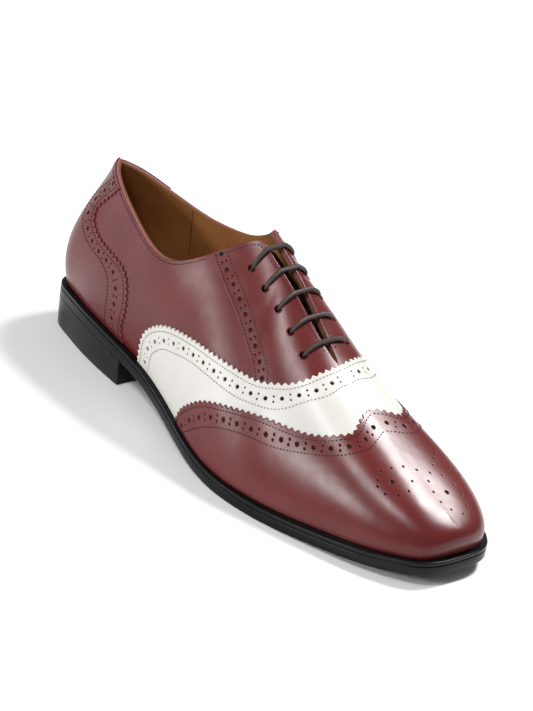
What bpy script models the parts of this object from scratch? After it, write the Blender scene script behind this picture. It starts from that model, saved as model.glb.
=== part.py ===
"""A right full-brogue Oxford shoe, heel towards -X, toe towards +X, standing on the floor.

The last is a surface of ribs: each rib climbs from the feather line at the sole to the
crest. A point of it is given by turn, the rib's number counted round the sole from the
back of the heel along the lateral side to the toe and back along the medial side, and by
rise, 0 at the sole and 1 at the crest. Every piece of the upper is a wall between two
heights above this surface, so the pieces follow each other when a size is changed.
"""
import math

import bmesh
import bpy
import numpy as np

LENGTH = 0.305            # outsole, heel to toe
BALL_WIDTH = 0.1006       # widest reach of the outsole, lateral and medial together
HEEL_WIDTH = 0.065
HEEL_LIFT = 0.0173        # underside of the outsole above the floor at the heel
TOE_SPRING = 0.0069
OUTSOLE = 0.0052
WELT = 0.0022
CLEAR = 0.0003            # between pieces that touch
EDGE_GAP = 0.0009         # between the cut edges of pieces side by side on the upper
TONGUE_GAP = 0.0006       # between the upper and the tongue's flanks
LEDGE = 0.0056            # welt that shows outside the upper at the forefoot
LAST_HEIGHT = 0.100       # of the last's cone above the sole
BACK_HEIGHT = 0.0738      # of the collar above the sole
INSTEP_HEIGHT = 0.0985
THROAT_GAP = 0.0096
SEAT_END = 0.14           # share of the length: end of the level heel seat
BALL_AT = 0.62            # share of the length: where the sole comes down to the floor
TREAD_END = 0.70          # share of the length: where the toe spring starts
SPRING_POWER = 1.6
WALL = 0.0020
SEAT = 0.0014             # depth of the upper's outer face below the last's outer form
SKIN_GAP = 0.0006         # between the upper and the pieces laid on it
FACING_LEATHER = 0.0008
COUNTER_LEATHER = 0.0008
VAMP_LEATHER = 0.0011
CAP_LEATHER = 0.0018
TONGUE_LEATHER = 0.0018
INSOLE = 0.0020           # of the insole above the welt's top
HEEL_BREAST = 0.0755      # from the back of the heel
HEEL_TAPER = 0.0012       # the heel drawn in at the floor
LACE = 0.0026             # diameter
LACE_LIFT = 0.0009        # of a bar above the facings
LACE_ROOM = 0.0036        # between the upper and the tongue
LACE_BEND = 0.0018        # radius of the lace's bends at the eyelets
EYELET = 0.0042           # diameter
EYELETS = 5               # on each side
EYELET_FIRST = 0.142      # from the back of the heel to the top eyelets
EYELET_STEP = 0.0121      # between eyelets along the shoe
EYELET_REACH = 0.014      # from the middle of the throat
CUTTER = 0.012            # length of the cutters for the eyelets
EYELET_SIDES = 10
LATERAL_SIDE = -1
MEDIAL_SIDE = 1

# Cut edges of the pieces laid on the upper, from the sole up: rib is the rib's number and
# rise the share of the rib; the counter's and the facing's start at the collar, and the
# counter's rise is a share of the way to the collar.
VAMP_EDGE = np.array((
    # rib, rise
    (4.68, 0.000),
    (4.74, 0.140),
    (4.90, 0.250),
    (5.32, 0.350),
    (5.90, 0.410),
    (6.70, 0.447),
    (7.50, 0.465),
    (8.16, 0.495),
    (8.60, 0.555),
    (8.96, 0.630),
    (9.32, 0.750),
    (9.60, 0.900),
    (9.70, 1.000),
))
CAP_EDGE = np.array((
    # rib, rise
    (6.20, 0.000),
    (6.36, 0.110),
    (6.62, 0.190),
    (7.00, 0.265),
    (7.50, 0.320),
    (8.10, 0.370),
    (8.80, 0.435),
    (9.40, 0.490),
    (9.95, 0.575),
    (10.35, 0.665),
    (10.62, 0.755),
    (10.68, 0.870),
    (10.70, 1.000),
))
COUNTER_EDGE = np.array((
    # rib, share of the way to the collar
    (2.36, 1.000),
    (1.98, 0.860),
    (1.74, 0.735),
    (1.86, 0.660),
    (2.16, 0.620),
    (2.72, 0.600),
    (3.40, 0.615),
    (3.92, 0.610),
    (4.15, 0.490),
    (4.17, 0.300),
    (4.12, 0.135),
    (4.20, 0.000),
))
FACING_EDGE = np.array((
    # rib, rise
    (6.50, 0.785),
    (6.92, 0.710),
    (7.20, 0.670),
    (7.52, 0.620),
    (7.80, 0.570),
    (8.02, 0.530),
    (8.16, 0.495),
))
FACING_JOIN = 7           # row of the vamp's edge where the facing's rear edge meets it
FACING_END = 9.5          # rib at the facing's lower end
TONGUE_TOP = 7.35         # ribs at the tongue's two ends, and where it lies deepest
TONGUE_END = 10.0
TONGUE_DEEP = 9.15
TONGUE_EDGE = 0.71        # rise at the tongue's side edges
TONGUE_ARCH = 0.87        # rise where its arch starts

# A row for each rib of the form, from the back of the heel to the tip of the toe.
# along is a share of the length, lateral and medial are shares of the local width,
# ball is how much of the local width is the ball width, ledge is a share of the ledge.
OUTLINE = np.array((
    # along, lateral, medial, ball, ledge
    (0.000, 0.015, -0.015, 0.00, 0.48),
    (0.012, 0.300, 0.280, 0.00, 0.50),
    (0.060, 0.400, 0.390, 0.00, 0.50),
    (0.130, 0.472, 0.470, 0.00, 0.50),
    (0.220, 0.520, 0.475, 0.00, 0.50),
    (0.320, 0.466, 0.362, 0.34, 0.48),
    (0.420, 0.459, 0.320, 0.78, 0.50),
    (0.520, 0.503, 0.378, 1.00, 0.55),
    (0.620, 0.533, 0.442, 1.00, 0.70),
    (0.720, 0.490, 0.467, 1.00, 0.87),
    (0.820, 0.404, 0.465, 1.00, 0.97),
    (0.900, 0.320, 0.436, 1.00, 0.98),
    (0.960, 0.217, 0.352, 1.00, 0.92),
    (0.993, 0.102, 0.242, 1.00, 0.88),
    (1.000, -0.075, 0.075, 1.00, 0.88),
))

# Where each rib ends on the crest of the last: along is a share of the length,
# half of the cone's width is a share of the heel width, height is a share of the last's
# height above the sole.
CREST = np.array((
    # along, half, height
    (0.055, 0.000, 0.930),
    (0.077, 0.080, 0.930),
    (0.113, 0.193, 0.930),
    (0.159, 0.278, 0.933),
    (0.213, 0.333, 0.943),
    (0.274, 0.348, 0.963),
    (0.343, 0.240, 0.997),
    (0.420, 0.112, 1.002),
    (0.512, 0.000, 0.935),
    (0.604, 0.000, 0.762),
    (0.690, 0.000, 0.594),
    (0.770, 0.000, 0.464),
    (0.860, 0.000, 0.330),
    (0.932, 0.000, 0.217),
    (0.958, 0.000, 0.176),
))
CREST_BEND = 0.65         # share of the length where the crest starts to swing medially
CREST_SWING = 0.054       # share of the ball width that it has swung by its toe end

# How far each rib's handles reach: out from the foot and up from it, then out from the
# crest and down from it. Out is a share of the ball width, up and down are shares of the
# last's height.
LATERAL_RIBS = np.array((
    # foot_out, foot_up, crest_out, crest_down
    (0.120, 0.367, 0.040, 0.337),
    (0.118, 0.367, 0.040, 0.337),
    (0.096, 0.341, 0.030, 0.349),
    (0.070, 0.306, 0.030, 0.353),
    (0.048, 0.273, 0.047, 0.340),
    (0.034, 0.244, 0.080, 0.300),
    (0.023, 0.221, 0.122, 0.236),
    (0.016, 0.203, 0.168, 0.156),
    (0.012, 0.189, 0.205, 0.070),
    (0.009, 0.177, 0.221, 0.020),
    (0.008, 0.167, 0.220, 0.000),
    (0.009, 0.158, 0.210, 0.000),
    (0.010, 0.149, 0.192, 0.000),
    (0.018, 0.124, 0.142, 0.000),
    (0.026, 0.104, 0.118, 0.000),
))
MEDIAL_RIBS = np.array((
    # foot_out, foot_up, crest_out, crest_down
    (0.120, 0.367, 0.040, 0.337),
    (0.116, 0.364, 0.036, 0.339),
    (0.092, 0.342, 0.016, 0.353),
    (0.066, 0.320, 0.008, 0.358),
    (0.049, 0.306, 0.024, 0.338),
    (0.041, 0.297, 0.069, 0.289),
    (0.037, 0.291, 0.131, 0.216),
    (0.034, 0.283, 0.195, 0.131),
    (0.029, 0.266, 0.229, 0.060),
    (0.028, 0.249, 0.236, 0.016),
    (0.036, 0.235, 0.243, 0.000),
    (0.056, 0.228, 0.240, 0.000),
    (0.060, 0.186, 0.200, 0.000),
    (0.044, 0.136, 0.154, 0.000),
    (0.026, 0.104, 0.118, 0.000),
))

# The collar's height above the sole along the shoe: shares of the back height and of
# the instep height, for the lateral and the medial side.
COLLAR = np.array((
    # along, lateral_back, lateral_instep, medial_back, medial_instep
    (0.030, 1.000, 0.000, 1.000, 0.000),
    (0.100, 0.972, 0.000, 0.868, 0.000),
    (0.180, 0.900, 0.000, 0.796, 0.000),
    (0.262, 0.845, 0.000, 0.838, 0.000),
    (0.318, 0.445, 0.332, 0.470, 0.350),
    (0.367, 0.000, 0.778, 0.000, 0.820),
    (0.407, 0.000, 0.898, 0.000, 0.940),
    (0.440, 0.000, 1.000, 0.000, 1.040),
    (0.492, 0.000, 1.135, 0.000, 1.165),
))
THROAT_TOP = 0.433        # share of the length: top of the facings
THROAT_END = 0.659        # share of the length: where the facings meet
THROAT_POWER = 0.45
CORNER = 0.006            # rounding of the facings' top corners

RIBS = len(OUTLINE) - 1
TURN = 2 * RIBS
OPEN_RIBS = 8             # ribs behind this one end on the cone's open top
UP = np.array((0.0, 0.0, 1.0))


def ring_spline(values):
    """Cubic spline round a closed ring with one knot for each value."""
    values = np.asarray(values, float)
    count = len(values)
    ahead = np.roll(values, -1)
    behind = np.roll(values, 1)
    one = np.eye(count)
    system = 4.0 * one + np.roll(one, 1, 1) + np.roll(one, -1, 1)
    bend = np.linalg.solve(system, 6.0 * (ahead - 2.0 * values + behind))

    def curve(turn):
        turn = np.mod(turn, count)
        knot = np.floor(turn).astype(int) % count
        after = (knot + 1) % count
        part = turn - np.floor(turn)
        rest = 1.0 - part
        chord = rest * values[knot] + part * values[after]
        return chord + ((rest ** 3 - rest) * bend[knot] + (part ** 3 - part) * bend[after]) / 6.0

    return curve


def line_spline(places, values):
    """Natural cubic spline through values at rising places."""
    places = np.asarray(places, float)
    values = np.asarray(values, float)
    gaps = np.diff(places)
    rises = np.diff(values) / gaps
    count = len(places)
    system = np.eye(count)
    load = np.zeros(count)
    for knot in range(1, count - 1):
        system[knot, knot - 1:knot + 2] = (gaps[knot - 1], 2.0 * (gaps[knot - 1] + gaps[knot]), gaps[knot])
        load[knot] = 6.0 * (rises[knot] - rises[knot - 1])
    bend = np.linalg.solve(system, load)

    def curve(place):
        place = np.asarray(place, float)
        knot = np.clip(np.searchsorted(places, place) - 1, 0, count - 2)
        gap = gaps[knot]
        part = (place - places[knot]) / gap
        rest = 1.0 - part
        chord = rest * values[knot] + part * values[knot + 1]
        sag = (rest ** 3 - rest) * bend[knot] + (part ** 3 - part) * bend[knot + 1]
        return chord + sag * gap ** 2 / 6.0

    return curve


def round_ring(lateral, medial):
    """Rows of both sides in one ring: lateral to the toe, then medial back to the heel."""
    return np.concatenate((lateral, medial[-2:0:-1]))


def unit(vectors):
    return vectors / np.linalg.norm(vectors, axis=-1, keepdims=True)


ALONG, LATERAL, MEDIAL, BALL, LEDGE_SHARE = OUTLINE.T
LOCAL_WIDTH = HEEL_WIDTH + (BALL_WIDTH - HEEL_WIDTH) * BALL
edge_x = ring_spline(round_ring(ALONG, ALONG) * LENGTH)
edge_y = ring_spline(round_ring(-LATERAL * LOCAL_WIDTH, MEDIAL * LOCAL_WIDTH))
ledge_at = ring_spline(round_ring(LEDGE_SHARE, LEDGE_SHARE) * LEDGE)
CREST_ALONG, CREST_HALF, CREST_HEIGHT = CREST.T
crest_x = ring_spline(round_ring(CREST_ALONG, CREST_ALONG) * LENGTH)
crest_half = ring_spline(round_ring(-CREST_HALF, CREST_HALF) * HEEL_WIDTH)
crest_rise = ring_spline(round_ring(CREST_HEIGHT, CREST_HEIGHT) * LAST_HEIGHT)
REACH = (BALL_WIDTH, LAST_HEIGHT, BALL_WIDTH, LAST_HEIGHT)
handles = [ring_spline(round_ring(LATERAL_RIBS[:, i], MEDIAL_RIBS[:, i]) * REACH[i]) for i in range(4)]
COLLAR_LATERAL = COLLAR[:, 1] * BACK_HEIGHT + COLLAR[:, 2] * INSTEP_HEIGHT
COLLAR_MEDIAL = COLLAR[:, 3] * BACK_HEIGHT + COLLAR[:, 4] * INSTEP_HEIGHT
lateral_collar = line_spline(COLLAR[:, 0] * LENGTH, COLLAR_LATERAL)
medial_collar = line_spline(COLLAR[:, 0] * LENGTH, COLLAR_MEDIAL)


def sole_under(x):
    """Height of the outsole's underside: heel seat, arch, flat tread and toe spring."""
    climb = np.clip((BALL_AT - x / LENGTH) / (BALL_AT - SEAT_END), 0.0, 1.0)
    spring = np.clip((x / LENGTH - TREAD_END) / (1.0 - TREAD_END), 0.0, 1.2)
    return HEEL_LIFT * climb * climb * (3.0 - 2.0 * climb) + TOE_SPRING * spring ** SPRING_POWER


def sole_top(x):
    return sole_under(x) + OUTSOLE + CLEAR + WELT


def edge(turn):
    return np.stack((edge_x(turn), edge_y(turn)), -1)


def outward(turn):
    """Level unit vector out of the sole's edge."""
    step = 1e-3
    run = edge(turn + step) - edge(turn - step)
    return unit(np.stack((run[..., 1], -run[..., 0], 0.0 * run[..., 0]), -1))


def fold(turn):
    """Rib number counted from the heel on either side."""
    turn = np.mod(turn, TURN)
    return np.where(turn > RIBS, TURN - turn, turn)


def crest_centre(turn):
    """The crest's middle line swings medially in front and runs straight into its end."""
    share = (crest_x(turn) / LENGTH - CREST_BEND) / (CREST_ALONG[-1] - CREST_BEND)
    share = np.clip(share, 0.0, 1.0)
    return CREST_SWING * BALL_WIDTH * share * share * (3.0 - 2.0 * share)


def crest(turn):
    half = np.where(fold(turn) >= OPEN_RIBS, 0.0, crest_half(turn))
    x = crest_x(turn)
    return np.stack((x, crest_centre(turn) + half, sole_top(x) + crest_rise(turn)), -1)


def crest_slope(turn):
    """Fall of the crest along the shoe, fading out towards the open top of the cone."""
    step = 1e-2
    rib = np.clip(fold(turn), step, RIBS - step)
    run = crest(rib + step) - crest(rib - step)
    part = np.clip((rib - OPEN_RIBS + 2.0) / 2.0, 0.0, 1.0)
    fade = part * part * (3.0 - 2.0 * part)
    return fade * run[..., 2] / np.where(fade > 0.0, run[..., 0], 1.0)


def form(turn, rise):
    """Point of the shoe's outer form on a rib, from its foot at rise 0 to the crest at 1."""
    turn, rise = np.broadcast_arrays(np.asarray(turn, float), np.asarray(rise, float))
    out = outward(turn)
    foot_out, foot_up, crest_out, crest_down = (handle(turn)[..., None] for handle in handles)
    foot = np.concatenate((edge(turn), np.zeros(turn.shape + (1,))), -1)
    foot -= out * ledge_at(turn)[..., None]
    foot[..., 2] = sole_top(foot[..., 0]) + CLEAR
    low = foot + out * foot_out + UP * foot_up
    end = crest(turn)
    lean = out + UP * (crest_slope(turn) * out[..., 0])[..., None]
    high = end + lean * crest_out - UP * crest_down
    part = rise[..., None]
    rest = 1.0 - part
    ends = rest ** 3 * foot + part ** 3 * end
    return ends + 3.0 * rest * rest * part * low + 3.0 * rest * part * part * high


def form_normal(turn, rise):
    turn, rise = np.broadcast_arrays(np.asarray(turn, float), np.asarray(rise, float))
    step = 1e-3
    inside = np.clip(rise, step, 1.0 - step)
    across = form(turn + step, inside) - form(turn - step, inside)
    up = form(turn, inside + step) - form(turn, inside - step)
    return unit(np.cross(across, up))


FOOT_BAND = 0.08          # rise below which the offset turns level


def skin(turn, rise, height):
    """Point at a height outside the form, level at the foot and matched across the crest."""
    turn, rise = np.broadcast_arrays(np.asarray(turn, float), np.asarray(rise, float))
    normal = form_normal(turn, rise)
    slope = crest_slope(turn)
    square = unit(np.stack((-slope, 0.0 * slope, 1.0 + 0.0 * slope), -1))
    on_crest = (rise >= 1.0) & (fold(turn) >= OPEN_RIBS)
    normal = np.where(on_crest[..., None], square, normal)
    level = np.clip(rise / FOOT_BAND, 0.0, 1.0)
    flat = normal * (1.0, 1.0, 0.0)
    normal = unit(flat + UP * (normal[..., 2] * level)[..., None])
    return form(turn, rise) + normal * np.asarray(height)[..., None]


def half_gap(x):
    """Half the width of the throat between the facings, negative in front of it."""
    share = (THROAT_END - x / LENGTH) / (THROAT_END - THROAT_TOP)
    return THROAT_GAP / 2.0 * np.sign(share) * np.abs(share) ** THROAT_POWER


def above_collar(turn, point):
    """How far a point of the form is past the collar or the facing's edge, corner rounded."""
    x = point[..., 0]
    lateral = np.mod(turn, TURN) < RIBS
    line = np.where(lateral, lateral_collar(x), medial_collar(x))
    past_line = point[..., 2] - sole_top(x) - np.where(x < LENGTH / 2.0, line, LAST_HEIGHT * 2.0)
    aside = np.abs(point[..., 1] - crest_centre(turn))
    past_edge = np.where(x > LENGTH / 3.0, half_gap(x) - aside, -LENGTH)
    most = np.maximum(past_line, past_edge)
    least = np.minimum(past_line, past_edge)
    return most + CORNER / 3.0 * np.log1p(np.exp((least - most) * 3.0 / CORNER))


def collar_rise(turn, steps=400):
    """Rise at which each rib leaves the upper; 1 in front of the throat."""
    turn = np.asarray(turn, float)
    rise = np.linspace(0.0, 1.0, steps + 1)
    past = above_collar(turn[:, None], form(turn[:, None], rise[None, :]))
    ends = np.ones(len(turn))
    for row, values in enumerate(past):
        out = np.flatnonzero(values > 0.0)
        if len(out) and crest_x(turn[row]) < THROAT_END * LENGTH - WELD:
            last = out[0]
            ends[row] = rise[last - 1] + (rise[last] - rise[last - 1]) * (
                -values[last - 1] / (values[last] - values[last - 1]))
    return ends


WELD = 1e-6               # nodes nearer than this are one
SEEK_STEPS = 30
VAMP_STEPS = 22
CAP_STEPS = 14
COUNTER_STEPS = 11
VAMP_COLUMNS = 5
CAP_COLUMNS = 14
CAP_POWER = 1.08
COUNTER_COLUMNS = 10
COUNTER_POWER = 1.2
FACING_COLUMNS = 5
REAR_STEPS = 7            # along the facing's rear edge
JOIN_STEPS = 3            # between rows of the vamp's edge where the facing follows it
BAR_REACH = (EYELET_REACH, EYELET_REACH * 0.68, EYELET_REACH * 0.36)
ROWS = np.array((0.0, 0.07, 0.19, 0.35, 0.52, 0.69, 0.85, 1.0))
FINE_RIBS = np.linspace(0.0, RIBS, 1401)
THROAT_TURN = float(np.interp(THROAT_END * LENGTH, crest_x(FINE_RIBS), FINE_RIBS))
EYELET_X = EYELET_FIRST + EYELET_STEP * np.arange(EYELETS)


def throat_centre(x):
    return np.interp(x, crest_x(FINE_RIBS), crest_centre(FINE_RIBS))


def station_turns():
    """Turns that the solids are cut at, closest together where the form bends most."""
    spans = ((0.0, 2.5, 10), (2.5, 6.0, 7), (6.0, 8.0, 8), (8.0, THROAT_TURN, 5), (THROAT_TURN, 11.0, 4))
    lateral = [np.linspace(start, end, steps, endpoint=False) for start, end, steps in spans]
    lateral = np.concatenate((*lateral, np.linspace(11.0, RIBS, 13)))
    return np.concatenate((lateral, TURN - lateral[-2:0:-1]))


STATIONS = station_turns()
REACH_OF_SOLE = edge(STATIONS)
OVERHANG = form(0.0, np.linspace(0.0, 1.0, 101))[:, 0].min()   # of the counter behind the sole
ORIGIN_SHIFT = -np.append((REACH_OF_SOLE.min(0) + REACH_OF_SOLE.max(0)) / 2.0, 0.0)
ORIGIN_SHIFT[0] -= min(OVERHANG, 0.0) / 2.0


def clear_scene():
    for item in list(bpy.data.objects):
        bpy.data.objects.remove(item, do_unlink=True)


def leather(name, colour, roughness, metallic=0.0):
    material = bpy.data.materials.new(name)
    material.use_nodes = True
    shader = material.node_tree.nodes["Principled BSDF"]
    shader.inputs["Base Color"].default_value = (*colour, 1.0)
    shader.inputs["Roughness"].default_value = roughness
    shader.inputs["Metallic"].default_value = metallic
    return material


def add_solid(name, points, faces, material):
    """One closed mesh, faces turned outwards, moved from heel-and-floor to the part's origin."""
    mesh = bpy.data.meshes.new(name)
    mesh.from_pydata([tuple(point) for point in np.asarray(points) + ORIGIN_SHIFT], [], faces)
    work = bmesh.new()
    work.from_mesh(mesh)
    if work.calc_volume(signed=True) < 0.0:
        bmesh.ops.reverse_faces(work, faces=work.faces)
    work.to_mesh(mesh)
    work.free()
    mesh.shade_smooth()
    mesh.set_sharp_from_angle(angle=math.radians(40.0))
    item = bpy.data.objects.new(name, mesh)
    bpy.context.scene.collection.objects.link(item)
    item.data.materials.append(material)
    return item


def sheet_faces(rows, columns, closed=False):
    """Quads of a grid of nodes numbered row by row, its rows joined in a ring if closed."""
    faces = []
    for row in range(rows if closed else rows - 1):
        after = (row + 1) % rows
        for column in range(columns - 1):
            a, b = row * columns + column, after * columns + column
            faces.append((a, b, b + 1, a + 1))
    return faces


def split_quads(points, faces):
    """Each quad as two triangles that meet on its shorter diagonal."""
    triangles = []
    for face in faces:
        if len(face) == 3:
            triangles.append(face)
            continue
        a, b, c, d = face
        if np.linalg.norm(points[a] - points[c]) <= np.linalg.norm(points[b] - points[d]):
            triangles += [(a, b, c), (a, c, d)]
        else:
            triangles += [(a, b, d), (b, c, d)]
    return triangles


def weld(points, faces):
    """Numbers of the first node at each place, and the faces left once nodes are shared."""
    first = {}
    keep = []
    number = []
    for index, point in enumerate(points):
        key = tuple(np.round(point / WELD).astype(int))
        if key not in first:
            first[key] = len(keep)
            keep.append(index)
        number.append(first[key])
    welded = []
    for face in faces:
        ring = []
        for node in (number[corner] for corner in face):
            if node not in ring:
                ring.append(node)
        if len(ring) > 2:
            welded.append(tuple(ring))
    return keep, welded


def open_edges(faces):
    """Directed edges that only one face uses."""
    edges = [(a, b) for face in faces for a, b in zip(face, face[1:] + face[:1])]
    known = set(edges)
    return [(a, b) for a, b in edges if (b, a) not in known]


def close_wall(outer, inner, faces):
    """Points and faces of the solid between an outer sheet and an inner one."""
    count = len(outer)
    faces = split_quads(outer, faces)
    inside = [tuple(corner + count for corner in reversed(face)) for face in faces]
    rims = [(b, a, a + count, b + count) for a, b in open_edges(faces)]
    return np.concatenate((outer, inner)), faces + inside + rims


def add_wall(name, turn, rise, faces, outer, inner, material):
    """A solid wall between two heights above the form over a sheet of nodes."""
    keep, faces = weld(skin(turn, rise, outer), faces)
    turn, rise = turn[keep], rise[keep]
    points, faces = close_wall(skin(turn, rise, outer), skin(turn, rise, inner), faces)
    return add_solid(name, points, faces, material)


def edge_path(table, steps):
    """Turn and rise along a cut edge given by its rows, from the sole or rear end."""
    rows = np.arange(len(table), dtype=float)
    place = np.linspace(0.0, rows[-1], steps + 1)
    return np.stack((line_spline(rows, table[:, 0])(place), line_spline(rows, table[:, 1])(place)), -1)


def slide(path, distance):
    """The path moved sideways over the form, towards growing turn where distance is positive."""
    run = np.gradient(form(path[:, 0], path[:, 1]), axis=0)
    aside = unit(np.cross(run, form_normal(path[:, 0], path[:, 1])))
    step = 1e-3
    inside = np.clip(path[:, 1], step, 1.0 - step)
    across = (form(path[:, 0] + step, inside) - form(path[:, 0] - step, inside)) / (2.0 * step)
    up = (form(path[:, 0], inside + step) - form(path[:, 0], inside - step)) / (2.0 * step)
    moved = path.copy()
    for row in range(len(path)):
        base = np.stack((across[row], up[row]), -1)
        share = np.linalg.lstsq(base, aside[row] * distance, rcond=None)[0]
        moved[row] += share
    moved[:, 1] = np.clip(moved[:, 1], 0.0, 1.0)
    moved[0, 1] = path[0, 1]
    moved[-1, 1] = path[-1, 1]
    return moved


def ruled(near, far, steps, power=1.0):
    """Nodes on straight lines in turn and rise from one path to another, closer at the
    far one where the power is above 1."""
    share = (1.0 - (1.0 - np.linspace(0.0, 1.0, steps + 1)) ** power)[None, :, None]
    return near[:, None, :] * (1.0 - share) + far[:, None, :] * share


def both_sides(grid):
    """Nodes and faces of a lateral grid and its medial mirror."""
    rows, columns = grid.shape[:2]
    turn = grid[..., 0].ravel()
    rise = grid[..., 1].ravel()
    faces = sheet_faces(rows, columns)
    mirrored = [tuple(corner + rows * columns for corner in reversed(face)) for face in faces]
    return np.concatenate((turn, TURN - turn)), np.concatenate((rise, rise)), faces + mirrored


def find_place(side, x, y):
    """Turn and rise of the point of the instep that stands at x and y."""
    turn, rise = (THROAT_TURN, 0.85)
    for _ in range(SEEK_STEPS):
        ring_turn = turn if side < 0 else TURN - turn
        sign = 1.0 if side < 0 else -1.0
        here = form(ring_turn, rise)[:2]
        step = 1e-4
        by_turn = (form(ring_turn + sign * step, rise)[:2] - here) / step
        by_rise = (form(ring_turn, rise + step)[:2] - here) / step
        change = np.linalg.solve(np.stack((by_turn, by_rise), -1), np.array((x, y)) - here)
        turn += float(np.clip(change[0], -0.5, 0.5))
        rise += float(np.clip(change[1], -0.1, 0.1))
    return (turn if side < 0 else TURN - turn), rise


def sole_ring(inset):
    """The sole's edge at every station, moved in by an inset along its own outward."""
    return edge(STATIONS) - outward(STATIONS)[:, :2] * np.asarray(inset)[..., None]


def feather_ring(inset):
    """The feather line, where the form meets the sole, moved in by an inset."""
    return sole_ring(ledge_at(STATIONS) + inset)


def plate_faces(count):
    """Faces of a plate between two rings of stations, paired across the shoe."""
    half = count // 2
    faces = []
    for near in range(half):
        a, b = near, near + 1
        c, d = (count - b) % count, (count - a) % count
        ring = [corner for corner in dict.fromkeys((a, b, c, d))]
        faces.append(tuple(ring))
        faces.append(tuple(corner + count for corner in reversed(ring)))
    for near in range(count):
        after = (near + 1) % count
        faces.append((after, near, near + count, after + count))
    return faces


def add_plate(name, ring, bottom, top, material):
    """A plate over one ring, its underside and top given as heights along the shoe."""
    low = np.column_stack((ring, bottom(ring[:, 0])))
    high = np.column_stack((ring, top(ring[:, 0])))
    return add_solid(name, np.concatenate((low, high)), plate_faces(len(ring)), material)


def add_outsole(material):
    ring = sole_ring(0.0 * STATIONS)
    return add_plate("outsole", ring, sole_under, lambda x: sole_under(x) + OUTSOLE, material)


def add_welt(material):
    """A flat strip all round, from the sole's edge in to the inner face of the upper."""
    outer = sole_ring(0.0 * STATIONS)
    inner = feather_ring(SEAT + WALL)
    points = []
    for ring, lift in ((outer, 0.0), (outer, WELT), (inner, WELT), (inner, 0.0)):
        points.append(np.column_stack((ring, sole_under(ring[:, 0]) + OUTSOLE + CLEAR + lift)))
    count = len(STATIONS)
    faces = []
    for station in range(count):
        after = (station + 1) % count
        for corner in range(4):
            here, there = corner * count, (corner + 1) % 4 * count
            faces.append((here + station, here + after, there + after, there + station))
    return add_solid("welt", np.concatenate(points), faces, material)


def add_heel(material):
    """The heel block: the outsole's outline back of the breast, drawn in towards the floor."""
    lateral = STATIONS[(STATIONS < RIBS) & (edge_x(STATIONS) < HEEL_BREAST)]
    breast = float(np.interp(HEEL_BREAST, edge_x(FINE_RIBS), FINE_RIBS))
    lateral = np.append(lateral, breast)
    turns = np.concatenate((lateral, TURN - lateral[:0:-1]))
    ring = edge(turns)
    foot = ring - outward(turns)[:, :2] * HEEL_TAPER
    foot[:, 0] = np.minimum(foot[:, 0], HEEL_BREAST)
    top = np.column_stack((ring, sole_under(ring[:, 0]) - CLEAR))
    floor = np.column_stack((foot, 0.0 * foot[:, 0]))
    count = len(turns)
    last = len(lateral) - 1
    faces = []
    for near in range(last):
        ring_corners = dict.fromkeys((near, near + 1, (count - near - 1) % count, (count - near) % count))
        corners = tuple(ring_corners)
        faces.append(corners)
        faces.append(tuple(corner + count for corner in reversed(corners)))
    for near in range(count):
        after = (near + 1) % count
        faces.append((after, near, near + count, after + count))
    return add_solid("heel", np.concatenate((floor, top)), faces, material)


def add_insole(material):
    return add_plate("insole", feather_ring(SEAT + WALL + CLEAR), lambda x: sole_under(x) + OUTSOLE + CLEAR,
                     lambda x: sole_top(x) + INSOLE, material)


def eyelet_places(side):
    """Turn and rise of each eyelet of one facing, from the top eyelet down."""
    across = throat_centre(EYELET_X) + side * EYELET_REACH
    return [find_place(side, x, y) for x, y in zip(EYELET_X, across)]


def add_eyelet_cutter():
    """Round cutters along the form's normals, one through each eyelet."""
    work = bmesh.new()
    for side in (LATERAL_SIDE, MEDIAL_SIDE):
        for turn, rise in eyelet_places(side):
            normal = form_normal(turn, rise)
            centre = form(turn, rise) + ORIGIN_SHIFT
            across = unit(np.cross(normal, UP))
            over = np.cross(normal, across)
            rings = []
            for height in (-CUTTER / 2.0, CUTTER / 2.0):
                ring = []
                for step in range(EYELET_SIDES):
                    angle = math.tau * step / EYELET_SIDES
                    aside = across * math.cos(angle) + over * math.sin(angle)
                    ring.append(work.verts.new(centre + aside * EYELET / 2.0 + normal * height))
                rings.append(ring)
            for step in range(EYELET_SIDES):
                after = (step + 1) % EYELET_SIDES
                work.faces.new((rings[0][step], rings[0][after], rings[1][after], rings[1][step]))
            work.faces.new(list(reversed(rings[0])))
            work.faces.new(rings[1])
    bmesh.ops.recalc_face_normals(work, faces=work.faces)
    mesh = bpy.data.meshes.new("eyelet_cutter")
    work.to_mesh(mesh)
    work.free()
    cutter = bpy.data.objects.new("eyelet_cutter", mesh)
    bpy.context.scene.collection.objects.link(cutter)
    cutter.hide_render = True
    cutter.display_type = "WIRE"
    return cutter


def cut_eyelets(item, cutter):
    cut = item.modifiers.new("eyelets", "BOOLEAN")
    cut.operation = "DIFFERENCE"
    cut.object = cutter
    return item


def add_upper(material):
    """Quarters, vamp lining and all in one wall: open at collar, throat and underneath."""
    top = collar_rise(STATIONS)
    turn = np.repeat(STATIONS[:, None], len(ROWS), 1)
    rise = top[:, None] * ROWS[None, :]
    faces = sheet_faces(len(STATIONS), len(ROWS), closed=True)
    return add_wall("upper", turn.ravel(), rise.ravel(), faces, -SEAT, -SEAT - WALL, material)


def add_overlay(name, turn, rise, faces, thickness, material):
    inner = -SEAT + SKIN_GAP
    return add_wall(name, turn, rise, faces, inner + thickness, inner, material)


def add_vamp(material):
    near = edge_path(VAMP_EDGE, VAMP_STEPS)
    far = slide(edge_path(CAP_EDGE, VAMP_STEPS), -EDGE_GAP)
    turn, rise, faces = both_sides(ruled(near, far, VAMP_COLUMNS))
    return add_overlay("vamp_panel", turn, rise, faces, VAMP_LEATHER, material)


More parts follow.
